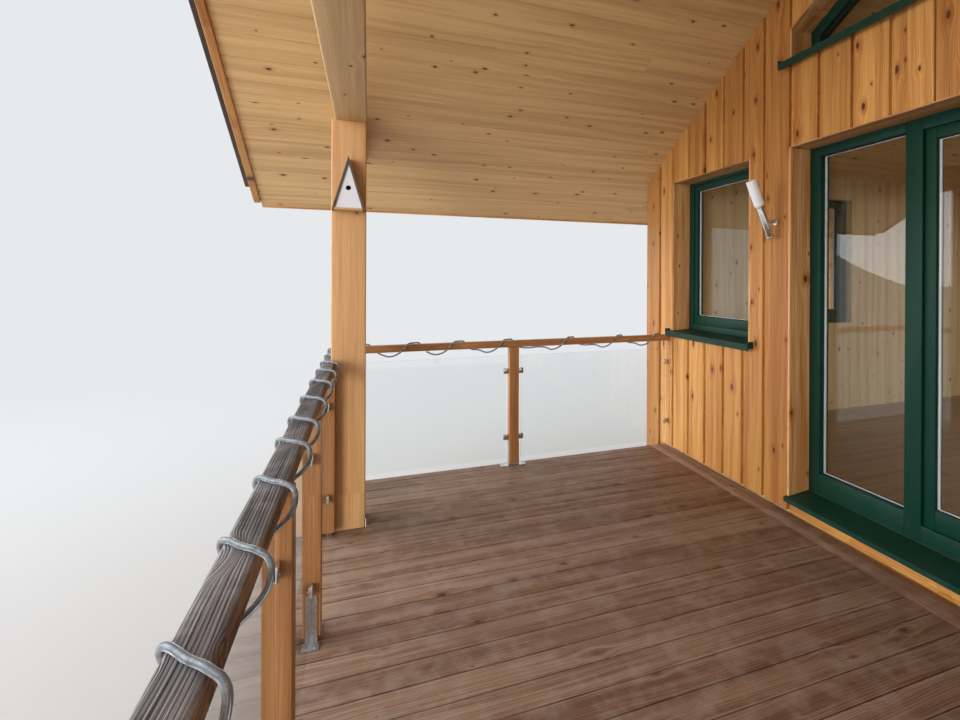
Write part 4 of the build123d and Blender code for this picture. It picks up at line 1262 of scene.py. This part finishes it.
class CHALET_OT_linings(bpy.types.Operator):
    """Makes the board linings of the window and door reveals"""

    bl_idname = "chalet.linings"
    bl_label = "Linings"

    # How far the head boards lie above the opening, the slack over the gable's jambs, the bevel,
    # and where the boards of the gable's head start and end before they are cut
    HEAD_RISE, JAMB_GAP, EDGE = 0.012, 0.004, 0.002
    PAST_PEAK, PAST_JAMB = -0.1, 1.6
    # The threshold's fall under the door's jambs
    FALL, FALL_LENGTH = 0.022, REVEAL + 0.03

    def execute(self, context):
        upright, level = [], []
        for side, middle in WINDOWS:
            outline = (WINDOW_SILL, HEAD + LINING)
            sides = bars(side, middle, WINDOW_HALF + LINING, outline, [LINING] * 4, (0, REVEAL))
            upright += sides[:2]
            ends = (middle - WINDOW_HALF, middle + WINDOW_HALF)
            level.append(wall_box(side, ends, (0, REVEAL), (HEAD + self.HEAD_RISE, HEAD + LINING)))
        half = GABLE_HALF + LINING
        for side in ("front", "back"):
            for start in (-half, GABLE_HALF):
                ends = (start, start + LINING)
                height = (GABLE_SILL, GABLE_JAMB - self.JAMB_GAP)
                upright.append(wall_box(side, ends, (0, REVEAL), height))
        jambs = add_boxes("window_jambs", upright)
        heads = add_boxes("window_heads", level)
        rows = [
            (self.PAST_PEAK, self.PAST_JAMB, start, start + REVEAL, 0, LINING)
            for start in (FRONT, BACK - REVEAL)
        ]
        slopes = sloping("gable_heads", rows, half, GABLE_PEAK)
        for piece in (jambs, heads, *slopes):
            ease_edges(piece, self.EDGE)
        mark_grain(jambs, (0, 0, 1), (0, 1, 0), "jambs")
        mark_grain(heads, (1, 0, 0), (0, 1, 0), "heads")
        mark_slopes(slopes, "gable heads")
        piece = join("linings", jambs, heads, *slopes)
        finish_piece(piece, FINISH["lining"], ["window_linings"])

        low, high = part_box("door_lining")
        jambs = add_boxes(
            "door_jambs",
            [
                wall_box("front", ends, (0, REVEAL), (low.z, HEAD + self.HEAD_RISE))
                for ends in ((low.x, low.x + LINING), (high.x - LINING, high.x))
            ],
        )
        fall = math.atan(self.FALL / self.FALL_LENGTH)
        cut(jambs, (0, FRONT + REVEAL, DOOR_FOOT), (0, math.sin(fall), -math.cos(fall)))
        level = (HEAD + self.HEAD_RISE, high.z)
        head = add_boxes("door_head", [wall_box("front", (low.x, high.x), (0, REVEAL), level)])
        for piece in (jambs, head):
            ease_edges(piece, self.EDGE)
        mark_grain(jambs, (0, 0, 1), (0, 1, 0), "door jambs")
        mark_grain(head, (1, 0, 0), (0, 1, 0), "door head")
        piece = join("door_reveal", jambs, head)
        finish_piece(piece, FINISH["lining"], ["door_lining"])
        return {"FINISHED"}


class CHALET_OT_glazing(bpy.types.Operator):
    """Makes the window and door frames with their sealed panes, spacers and gaskets"""

    bl_idname = "chalet.glazing"
    bl_label = "Windows and terrace door"

    # The window's sash inside the opening: how far in it lies, its bars and its bottom rail
    SASH_SIDE, SASH_HEAD, SASH_FOOT = 0.068, 0.010, 0.066
    SASH_FACE, SASH_RAIL = 0.052, 0.080
    # Where frames, sashes, the leaf and the panes lie, measured into the wall
    FRAME_DEPTH = (REVEAL, REVEAL + 0.09)
    SASH_DEPTH = (REVEAL + 0.012, REVEAL + 0.09)
    LEAF_DEPTH = (REVEAL + 0.02, REVEAL + 0.09)
    PANE_DEPTH = REVEAL + 0.035
    # A sealed pane's thickness, and the bars of its spacer and its gaskets
    UNIT, SPACER_SIDE, SPACER_LEVEL, SPACER_GAP = 0.024, 0.017, 0.008, 0.004
    GASKET, GASKET_THICK, GASKET_GAP, SPACER_INSET = 0.005, 0.003, 0.0002, 0.0005
    FRAME_EDGE, SASH_EDGE = 0.003, 0.004
    # The door: inner sides of the outer stiles, outer sides of the mullions, the fixed lights'
    # heights over the deck, and the rebate as half width, foot, head and depth of each layer
    STILE = DOOR_HALF - 0.095
    MULLION = 0.519
    FIXED = (0.27, 2.422)
    REBATE = (
        (0.411, 0.228, 2.414, (REVEAL, REVEAL + 0.015)),
        (0.423, 0.216, 2.426, (REVEAL + 0.0145, REVEAL + 0.09)),
    )
    LEAF_HALF, LEAF_LOW, LEAF_HIGH = 0.418, 0.221, 2.421
    LIGHT_HALF, LIGHT_LOW, LIGHT_HIGH = 0.342, 0.335, 2.352

    def panes(self, name, lights, slot, nodes, body="house"):
        """Sealed panes with the spacer inside them and the gaskets round them."""
        glass, spacers, gaskets = [], [], []
        front, back = self.PANE_DEPTH, self.PANE_DEPTH + self.UNIT
        widths = [self.SPACER_SIDE] * 2 + [self.SPACER_LEVEL] * 2
        for side, middle, half, height in lights:
            ends = (middle - half, middle + half)
            glass.append(wall_box(side, ends, (front, back), height))
            depth = (front + self.SPACER_GAP, back - self.SPACER_GAP)
            spacers += bars(side, middle, half - self.SPACER_INSET, height, widths, depth)
            for face in (
                (front - self.GASKET_THICK, front - self.GASKET_GAP),
                (back + self.GASKET_GAP, back + self.GASKET_THICK),
            ):
                gaskets += bars(side, middle, half, height, [self.GASKET] * 4, face)
        for title, boxes, finish in (
            ("panes", glass, "glazing"),
            ("spacers", spacers, "spacer"),
            ("gaskets", gaskets, "gasket"),
        ):
            piece = add_boxes(name + "_" + title, boxes)
            finish_piece(piece, FINISH[finish], nodes if title == "panes" else (), body)

    def execute(self, context):
        self.make_windows()
        self.make_door()
        return {"FINISHED"}

    def make_windows(self):
        """The frames and sashes of all the windows below the gables."""
        frames, sashes, lights = [], [], []
        outer = WINDOW_HALF + LINING
        sash = WINDOW_HALF - self.SASH_SIDE
        side_width = outer - sash
        low, high = WINDOW_SILL + self.SASH_FOOT, HEAD - self.SASH_HEAD
        face = self.SASH_FACE
        widths = (side_width, side_width, LINING + self.SASH_HEAD, self.SASH_FOOT)
        for side, middle in WINDOWS:
            outline = (WINDOW_SILL, HEAD + LINING)
            frames += bars(side, middle, outer, outline, widths, self.FRAME_DEPTH)
            sash_widths = (face, face, face, self.SASH_RAIL)
            sashes += bars(side, middle, sash, (low, high), sash_widths, self.SASH_DEPTH)
            lights.append((side, middle, sash - face, (low + self.SASH_RAIL, high - face)))
        frame_piece = add_boxes("window_frame_bars", frames)
        ease_edges(frame_piece, self.FRAME_EDGE, 2)
        sash_piece = add_boxes("window_sashes", sashes)
        ease_edges(sash_piece, self.SASH_EDGE, 2)
        piece = join("windows", frame_piece, sash_piece)
        finish_piece(piece, FINISH["green"], ["window_frames"])
        self.panes("window", lights, "window_glazing", ["window_glass"])

    def make_door(self):
        """The terrace door's frame, its fixed lights and its leaf."""
        half = DOOR_HALF + LINING
        outer = self.MULLION
        bottom, top = DOOR_FOOT, HEAD + LINING
        fixed = [DECK + height for height in self.FIXED]
        layers = []
        for inner, low, high, depth in self.REBATE:
            low, high = DECK + low, DECK + high
            boxes = []
            for sign in (-1, 1):
                for start, end in ((self.STILE, half), (inner, outer)):
                    ends = sorted((sign * start, sign * end))
                    boxes.append(wall_box("front", ends, depth, (bottom, top)))
                ends = sorted((sign * outer, sign * self.STILE))
                boxes.append(wall_box("front", ends, depth, (fixed[1], top)))
                boxes.append(wall_box("front", ends, depth, (bottom, fixed[0])))
            boxes.append(wall_box("front", (-inner, inner), depth, (high, top)))
            boxes.append(wall_box("front", (-inner, inner), depth, (bottom, low)))
            layer = add_boxes("terrace_door_frame", boxes)
            ease_edges(layer, self.FRAME_EDGE, 2)
            layers.append(layer)
        piece = join("terrace_door_frame", *layers)
        finish_piece(piece, FINISH["green"], ["door_frame"])

        outline = (DECK + self.LEAF_LOW, DECK + self.LEAF_HIGH)
        stile = self.LEAF_HALF - self.LIGHT_HALF
        widths = (stile, stile, self.LEAF_HIGH - self.LIGHT_HIGH, self.LIGHT_LOW - self.LEAF_LOW)
        leaf = add_boxes(
            "terrace_door_leaf", bars("front", 0, self.LEAF_HALF, outline, widths, self.LEAF_DEPTH)
        )
        ease_edges(leaf, self.SASH_EDGE, 2)
        finish_piece(leaf, FINISH["green"], ["door_leaf"], "door_leaf")
        middle, reach = (self.STILE + outer) / 2, (self.STILE - outer) / 2
        lights = [("front", sign * middle, reach, fixed) for sign in (-1, 1)]
        self.panes("door", lights, "window_glazing", ["door_fixed_glass"])
        light = ("front", 0, self.LIGHT_HALF, (DECK + self.LIGHT_LOW, DECK + self.LIGHT_HIGH))
        self.panes("leaf", [light], "window_glazing", ["door_leaf_glass"], "door_leaf")


class CHALET_OT_sills(bpy.types.Operator):
    """Makes the upturned ends of the window sills"""

    bl_idname = "chalet.sills"
    bl_label = "Sill ends"

    REACH, THICK, RISE, DROP, EDGE = 0.053, 0.004, 0.020, 0.030, 0.0015
    PAST_WINDOW, PAST_GABLE = 0.060, 0.075

    def execute(self, context):
        boxes = []
        half = WINDOW_HALF + self.PAST_WINDOW
        places = [(side, middle, half, WINDOW_SILL) for side, middle in WINDOWS]
        half = GABLE_HALF + self.PAST_GABLE
        places += [(side, 0, half, GABLE_SILL) for side in ("front", "back")]
        for side, middle, half, height in places:
            for end in (middle - half - self.THICK, middle + half):
                level = (height - self.DROP, height + self.RISE)
                boxes.append(wall_box(side, (end, end + self.THICK), (-self.REACH, 0), level))
        piece = add_boxes("sill_ends", boxes)
        ease_edges(piece, self.EDGE)
        finish_piece(piece, FINISH["green_sheet"])
        return {"FINISHED"}


class CHALET_OT_fittings(bpy.types.Operator):
    """Makes the glass clamps and the screws of the railing's feet"""

    bl_idname = "chalet.fittings"
    bl_label = "Railing fittings"

    # A clamp: its size, its cheeks' thickness, half the slot for the glass, how far its root
    # reaches, how far the cheeks stand off the post, its bevel, and the heads of its bolts
    CLAMP, CHEEK, GLASS, ROOT, STAND_OFF, CLAMP_EDGE = 0.045, 0.009, 0.004, 0.024, 0.006, 0.0038
    BOLT_OUT, BOLT_PROUD, BOLT_RADIUS, BOLT_LENGTH, BOLT_EDGE = 0.034, 0.0012, 0.0055, 0.003, 0.0008
    HEIGHTS, ROOT_INSET = (0.24, 0.80), 0.001
    # The bays with glass between the front's posts, without the two narrow ones at the roof posts
    BAYS = ((-2.1, -1.01), (-1.01, 0), (0, 1.01), (1.01, 2.1))
    BAY_ENDS = 2.38
    # The posts with a steel foot on both sides, how far a screw's middle lies from the wood under
    # its leg, its heights on the upright leg, its place on the flat leg, and its size
    FOOT_POSTS, LEG = (-1.01, 0, 1.01), 0.0065
    LEG_HEIGHTS, FOOT_OUT, FOOT_SIDE = (0.05, 0.19), 0.088, 0.024
    SCREW_RADIUS, SCREW_LENGTH, SCREW_EDGE = 0.0065, 0.003, 0.001

    def execute(self, context):
        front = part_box("handrail_front")
        low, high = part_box("rail_posts")
        rail_y = (front[0].y + front[1].y) / 2
        corner = high.x - RAIL_POST_HALF
        side_y = high.y - RAIL_POST_HALF
        self.make_clamps(corner, rail_y, side_y)
        self.make_foot_screws(corner, rail_y, side_y)
        return {"FINISHED"}

    def make_clamps(self, corner, rail_y, side_y):
        """Two clamps on each post's side that has glass beside it."""
        spots = []
        for start, end in ((-corner, -self.BAY_ENDS), *self.BAYS, (self.BAY_ENDS, corner)):
            spots.append((start + RAIL_POST_HALF, rail_y, 1, 0))
            spots.append((end - RAIL_POST_HALF, rail_y, -1, 0))
        for start, end in ((rail_y, side_y), (side_y, FRONT + RAIL_POST_HALF)):
            for x in (-corner, corner):
                spots.append((x, start + RAIL_POST_HALF, 0, 1))
                spots.append((x, end - RAIL_POST_HALF, 0, -1))
        cheeks, bolts = [], []
        proud = self.GLASS + self.CHEEK + self.BOLT_PROUD
        for height in self.HEIGHTS:
            for x, y, dx, dy in spots:
                face, way = Vector((x, y, DECK + height)), Vector((dx, dy, 0))
                cheeks += self.clamp(face, way)
                across = Vector((dy, dx, 0))
                middle = face + way * self.BOLT_OUT
                for sign in (-1, 1):
                    place = middle + across * sign * proud
                    bolts.append((place, across * sign, self.BOLT_RADIUS, self.BOLT_LENGTH))
        clamps = add_boxes("clamps", cheeks)
        ease_edges(clamps, self.CLAMP_EDGE, 3)
        heads = add_rods("clamp_bolts", bolts, 6)
        ease_edges(heads, self.BOLT_EDGE)
        piece = join("railing_clamps", clamps, heads)
        finish_piece(piece, FINISH["steel"], ["glass_clamps"])

    def make_foot_screws(self, corner, rail_y, side_y):
        """The screws of the posts' steel feet, two into the post and two into the deck."""
        feet = [(x, rail_y, dx, 0) for x in self.FOOT_POSTS for dx in (-1, 1)]
        feet += [(-corner, rail_y, 1, 0), (corner, rail_y, -1, 0)]
        feet += [(x, rail_y, 0, 1) for x in (-corner, corner)]
        feet += [(x, side_y, 0, dy) for x in (-corner, corner) for dy in (-1, 1)]
        size = (self.SCREW_RADIUS, self.SCREW_LENGTH)
        screws = []
        for x, y, dx, dy in feet:
            way, across = Vector((dx, dy, 0)), Vector((dy, dx, 0))
            foot = Vector((x, y, DECK))
            for height in self.LEG_HEIGHTS:
                place = foot + way * (RAIL_POST_HALF + self.LEG) + UP * height
                screws.append((place, way, *size))
            for sign in (-1, 1):
                place = foot + way * self.FOOT_OUT + across * sign * self.FOOT_SIDE + UP * self.LEG
                screws.append((place, UP, *size))
        piece = add_rods("foot_screws", screws)
        ease_edges(piece, self.SCREW_EDGE, 2)
        finish_piece(piece, FINISH["zinc"])

    def clamp(self, face, way):
        """The boxes of one clamp on a post's face: its root and two cheeks beside the glass."""
        across = Vector((way.y, way.x, 0))
        half = self.CLAMP / 2
        inner, outer = self.GLASS, self.GLASS + self.CHEEK
        parts = [(0, self.ROOT, -outer + self.ROOT_INSET, outer - self.ROOT_INSET)]
        for left, right in ((inner, outer), (-outer, -inner)):
            parts.append((self.STAND_OFF, self.CLAMP, left, right))
        boxes = []
        for start, end, left, right in parts:
            first = face + way * start + across * left
            second = face + way * end + across * right
            low = Vector((min(first.x, second.x), min(first.y, second.y), face.z - half))
            high = Vector((max(first.x, second.x), max(first.y, second.y), face.z + half))
            boxes.append((low, high))
        return boxes


class CHALET_OT_rope(bpy.types.Operator):
    """Winds the rope light round the three handrails, from the right wall to the left wall"""

    bl_idname = "chalet.rope"
    bl_label = "Rope light"

    RADIUS, WIRE = 0.0065, 0.0024
    # Points of a turn round the rail's middle: along the rail from where the tube crosses its
    # top, inwards and up. The outer ones are the same for the tight and the loose turns.
    OUTER = ((0.014, -0.0405, 0.026), (0.036, -0.0415, -0.008), (0.070, -0.034, -0.0345))
    TURN = (
        (-0.150, 0.040, -0.036), (-0.136, 0.057, -0.018), (-0.124, 0.064, 0.004),
        (-0.108, 0.060, 0.027), (-0.084, 0.038, 0.0375), (-0.045, 0.004, 0.0365),
        (0.0, -0.030, 0.0345), *OUTER,
    )
    LOOSE_TURN = (
        (-0.283, 0.026, -0.037), (-0.215, 0.046, -0.058), (-0.126, 0.050, -0.018),
        (-0.080, 0.042, 0.034), (-0.040, 0.004, 0.0375), (0.0, -0.030, 0.0345), *OUTER,
    )
    # Where the tube crosses the top of each rail, in the order in which it is wound
    RIGHT = (-2.36, -2.76, -3.12, -3.54, -3.90, -4.26, -4.74)
    FRONT = (
        2.66, 2.30, 1.87, 1.53, 1.19, 0.82, 0.469, 0.09, -0.29, -0.60, -1.0, -1.43, -1.80, -2.13,
        -2.48, -2.83,
    )
    LEFT = (-4.68, -4.31, -3.962, -3.557, -2.998, -2.523, -2.135)
    # The first and last points of the turns that are left out, at the tube's two ends
    START, STOP = 3, -2
    SMOOTH = math.radians(50)

    def turn(self, rail, top, way):
        """The points of one turn, under the rail's inner edge, over its top and down outside."""
        front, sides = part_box("handrail_front"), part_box("handrails_side")
        middle = (front[0] + front[1]) / 2
        side_x = sides[1].x - (front[1].y - front[0].y) / 2
        points = []
        for along, inwards, rise in self.TURN if rail == "front" else self.LOOSE_TURN:
            place, height = top + way * along, middle.z + rise
            if rail == "front":
                points.append((place, middle.y + inwards, height))
            else:
                side = 1 if rail == "right" else -1
                points.append((side * (side_x - inwards), place, height))
        return points

    def execute(self, context):
        points = []
        for rail, tops, way in (
            ("right", self.RIGHT, -1), ("front", self.FRONT, -1), ("left", self.LEFT, 1)
        ):
            for top in tops:
                points += self.turn(rail, top, way)
        for name, radius, finish, nodes in (
            ("rope_tube", self.RADIUS, "tube", ["rope_light"]),
            ("rope_wires", self.WIRE, "wires", []),
        ):
            deselect()
            bpy.ops.curve.primitive_bezier_curve_add(enter_editmode=True)
            bpy.ops.curve.select_all(action="SELECT")
            bpy.ops.curve.delete(type="VERT")
            for point in points[self.START:self.STOP]:
                bpy.ops.curve.vertex_add(location=point)
            bpy.ops.curve.select_all(action="SELECT")
            bpy.ops.curve.handle_type_set(type="AUTOMATIC")
            bpy.ops.object.mode_set(mode="OBJECT")
            piece = context.object
            piece.name = name
            piece.data.dimensions = "3D"
            piece.data.resolution_u = 5
            piece.data.bevel_depth = radius
            piece.data.bevel_resolution = 3
            piece.data.use_fill_caps = True
            bpy.ops.object.convert(target="MESH")
            bpy.ops.object.shade_smooth_by_angle(angle=self.SMOOTH)
            finish_piece(context.object, FINISH[finish], nodes)
        return {"FINISHED"}


class CHALET_OT_lamp(bpy.types.Operator):
    """Makes the leaning wall lamp"""

    bl_idname = "chalet.lamp"
    bl_label = "Wall lamp"

    # Its foot's place on the wall, its lean and the height of its arm over its foot
    X, OUT, DROP, LEAN, ARM_RISE = -1.415, 0.05, 0.592, math.radians(24), 0.112
    # Round parts along the lamp: middle, radius and length
    TUBE = ((0.115, 0.0255, 0.230), (0.006, 0.027, 0.010), (0.228, 0.027, 0.014))
    SHADE = (0.3275, 0.037, 0.185)
    ARM_RADIUS, PLATE_RADIUS, PLATE_THICK = 0.012, 0.026, 0.012
    TUBE_EDGE, SHADE_EDGE = 0.002, 0.006

    def execute(self, context):
        axis = Vector((0, -math.sin(self.LEAN), math.cos(self.LEAN)))
        foot = Vector((self.X, FRONT - self.OUT, HEAD - self.DROP))
        out, height = Vector((0, -1, 0)), foot.z + self.ARM_RISE
        arm = self.OUT + self.ARM_RISE * math.tan(self.LEAN)
        parts = [(foot + axis * middle, axis, radius, size) for middle, radius, size in self.TUBE]
        for radius, size in ((self.ARM_RADIUS, arm), (self.PLATE_RADIUS, self.PLATE_THICK)):
            parts.append(((self.X, FRONT - size / 2, height), out, radius, size))
        tube = add_rods("lamp_tube", parts, 48)
        ease_edges(tube, self.TUBE_EDGE, 2)
        finish_piece(tube, FINISH["steel"], ["wall_lamp"])
        middle, radius, size = self.SHADE
        shade = add_rods("lamp_shade", [(foot + axis * middle, axis, radius, size)], 64)
        ease_edges(shade, self.SHADE_EDGE, 4)
        finish_piece(shade, FINISH["lamp"], ["lamp_diffuser"])
        return {"FINISHED"}


class CHALET_OT_nest_box(bpy.types.Operator):
    """Makes the nest box's leaning side boards and its base"""

    bl_idname = "chalet.nest_box"
    bl_label = "Nest box"

    BOARD, OVERLAP, EDGE = 0.012, 0.0005, 0.0012

    def execute(self, context):
        low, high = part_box("nest_box")
        middle, half = (low.y + high.y) / 2, (high.y - low.y) / 2
        rise, peak = high.z - low.z, Vector((0, middle, high.z))
        outs = {sign: Vector((0, sign * rise, half)).normalized() for sign in (-1, 1)}
        sides = []
        for sign, out in outs.items():
            ends = sorted((middle, middle + sign * half))
            side = add_boxes("nest_side", [((low.x, ends[0], low.z), (high.x, ends[1], high.z))])
            cut(side, peak, out)
            cut(side, peak - out * self.BOARD, -out)
            ease_edges(side, self.EDGE)
            mark_grain(side, (0, -sign * half, rise), (1, 0, 0), "nest %d" % sign)
            sides.append(side)
        piece = join("nest_sides", *sides)
        finish_piece(piece, FINISH["nest"], ["nest_box"])
        base = add_boxes("nest_base", [(low, (high.x, high.y, low.z + self.BOARD))])
        for out in outs.values():
            cut(base, peak - out * (self.BOARD - self.OVERLAP), out)
        ease_edges(base, self.EDGE)
        mark_grain(base, (0, 1, 0), (1, 0, 0), "nest base")
        finish_piece(base, FINISH["spruce"])
        return {"FINISHED"}


class CHALET_OT_stage(bpy.types.Operator):
    """Makes the plain pale floor, the soft light and the camera"""

    bl_idname = "chalet.stage"
    bl_label = "Stage"

    FLOOR_SIZE, FLOOR_HEIGHT, FLOOR_ROUGH = 400, -0.002, 0.9
    # The backdrop's colour, and the distances over which the floor fades into it
    BACKDROP, FADE = (0.80, 0.82, 0.84), (7.0, 18.0)
    AMBIENT = 1.1
    SUN_PLACE, SUN_WAY = (-8, -12, 9), (0.50, 0.80, -0.36)
    SUN_POWER, SUN_SPREAD = 1.1, math.radians(45)
    # Name, place, what it points at, size and power
    LIGHTS = (
        ("Left light", (-6, -20, 4), (-1, -3, 3), 6.0, 1500),
        ("Right light", (13, -15, 4), (-2, -4, 2.6), 6.0, 1900),
        ("Room light", (0, HOUSE_MIDDLE, 3.4), (0, HOUSE_MIDDLE, 0), 2.0, 70),
    )
    # The camera as solved from the photo: place, angles, lens and shift
    CAMERA = (1.79, FRONT - 2.63, DECK + 1.58)
    YAW, PITCH, ROLL = 0.40536, -0.00273, 0.00451
    FOCAL, SENSOR, SHIFT, NEAREST = 21.27, 36, (-0.1375, -0.0823), 0.02

    def execute(self, context):
        self.make_floor(context.scene)
        self.make_world(context.scene)
        self.make_lights()
        self.make_camera(context.scene)
        context.scene.view_settings.view_transform = "Standard"
        return {"FINISHED"}

    def seen(self, tree):
        """1 on rays from the camera, mirrored rays and rays through glass, 0 on all others."""
        path = node(tree, "ShaderNodeLightPath")
        seen = calc(tree, "MAXIMUM", path.outputs["Is Camera Ray"], path.outputs["Is Glossy Ray"])
        return calc(tree, "MAXIMUM", seen, path.outputs["Is Transmission Ray"])

    def make_floor(self, scene):
        """The pale floor, which fades into the backdrop."""
        deselect()
        place = (0, 0, self.FLOOR_HEIGHT)
        bpy.ops.mesh.primitive_plane_add(size=self.FLOOR_SIZE, location=place)
        floor = bpy.context.object
        floor.name = "studio_floor"
        base = scene.chalet_colours.floor
        material, tree, shader = new_material("Studio floor", base, self.FLOOR_ROUGH)
        place = node(tree, "ShaderNodeTexCoord").outputs["Object"]
        distance = node(tree, "ShaderNodeVectorMath", operation="LENGTH")
        wire(tree, place, distance.inputs[0])
        far = ramp(tree, distance.outputs["Value"], *self.FADE)
        glow = node(tree, "ShaderNodeEmission")
        glow.inputs["Color"].default_value = (*self.BACKDROP, 1)
        mixed = node(tree, "ShaderNodeMixShader")
        wire(tree, calc(tree, "MULTIPLY", self.seen(tree), far), mixed.inputs[0])
        tree.links.new(shader.outputs[0], mixed.inputs[1])
        tree.links.new(glow.outputs[0], mixed.inputs[2])
        tree.links.new(mixed.outputs[0], tree.nodes["Material Output"].inputs["Surface"])
        floor.data.materials.append(material)

    def make_world(self, scene):
        """White light all round, and the backdrop's colour where it is seen."""
        world = bpy.data.worlds.new("Studio")
        scene.world = world
        world.use_nodes = True
        tree = world.node_tree
        back = tree.nodes["Background"]
        seen = self.seen(tree)
        tint = blend_colour(tree, seen, (1, 1, 1, 1), (*self.BACKDROP, 1))
        wire(tree, tint, back.inputs["Color"])
        wire(tree, ramp(tree, seen, 0, 1, self.AMBIENT, 1.0), back.inputs["Strength"])

    def make_lights(self):
        """One wide soft sun, two large lights in front of the terrace and one in the room."""
        bpy.ops.object.light_add(type="SUN", location=self.SUN_PLACE)
        sun = bpy.context.object
        sun.name = "Soft light"
        sun.data.energy = self.SUN_POWER
        sun.data.angle = self.SUN_SPREAD
        sun.rotation_euler = Vector(self.SUN_WAY).to_track_quat("-Z", "Y").to_euler()
        for name, place, target, size, power in self.LIGHTS:
            bpy.ops.object.light_add(type="AREA", location=place)
            light = bpy.context.object
            light.name = name
            light.visible_camera = False
            light.visible_glossy = False
            light.visible_transmission = False
            light.data.size = size
            light.data.energy = power
            way = Vector(target) - Vector(place)
            light.rotation_euler = way.to_track_quat("-Z", "Y").to_euler()

    def make_camera(self, scene):
        """The camera, turned by the three solved angles."""
        bpy.ops.object.camera_add(location=self.CAMERA)
        camera = bpy.context.object
        forward = Vector((-math.cos(self.YAW), math.sin(self.YAW), 0))
        right = Vector((math.sin(self.YAW), math.cos(self.YAW), 0))
        look = forward * math.cos(self.PITCH) + UP * math.sin(self.PITCH)
        lift = UP * math.cos(self.PITCH) - forward * math.sin(self.PITCH)
        level = right * math.cos(self.ROLL) + lift * math.sin(self.ROLL)
        rise = lift * math.cos(self.ROLL) - right * math.sin(self.ROLL)
        turn = Matrix((level, rise, -look)).transposed()
        camera.rotation_euler = turn.to_euler()
        camera.data.sensor_width = self.SENSOR
        camera.data.lens = self.FOCAL
        camera.data.shift_x, camera.data.shift_y = self.SHIFT
        camera.data.clip_start = self.NEAREST
        scene.camera = camera


OPERATORS = (
    CHALET_OT_kept,
    CHALET_OT_cladding,
    CHALET_OT_ceiling,
    CHALET_OT_roof_edges,
    CHALET_OT_deck,
    CHALET_OT_posts,
    CHALET_OT_railing,
    CHALET_OT_linings,
    CHALET_OT_glazing,
    CHALET_OT_sills,
    CHALET_OT_fittings,
    CHALET_OT_rope,
    CHALET_OT_lamp,
    CHALET_OT_nest_box,
    CHALET_OT_stage,
)


class CHALET_PT_sidebar(bpy.types.Panel):
    """Buttons for the chalet's pieces"""

    bl_idname = "CHALET_PT_sidebar"
    bl_label = "Chalet"
    bl_space_type = "VIEW_3D"
    bl_region_type = "UI"
    bl_category = "Chalet"

    def draw(self, context):
        for operator in OPERATORS:
            self.layout.operator(operator.bl_idname)
        for group in (context.scene.chalet_sizes, context.scene.chalet_colours):
            for name in group.__annotations__:
                self.layout.prop(group, name)


CLASSES = (ChaletColours, ChaletSizes, *OPERATORS, CHALET_PT_sidebar)


def register():
    """Registers the classes and the chalet's settings."""
    for kind in CLASSES:
        bpy.utils.register_class(kind)
    bpy.types.Scene.chalet_colours = bpy.props.PointerProperty(type=ChaletColours)
    bpy.types.Scene.chalet_sizes = bpy.props.PointerProperty(type=ChaletSizes)


def unregister():
    """Removes the chalet's settings and classes."""
    del bpy.types.Scene.chalet_sizes
    del bpy.types.Scene.chalet_colours
    for kind in reversed(CLASSES):
        bpy.utils.unregister_class(kind)


def main():
    """Makes the chalet and its stage."""
    register()
    for operator in OPERATORS:
        group, name = operator.bl_idname.split(".")
        getattr(getattr(bpy.ops, group), name)()


if __name__ == "__main__":
    main()
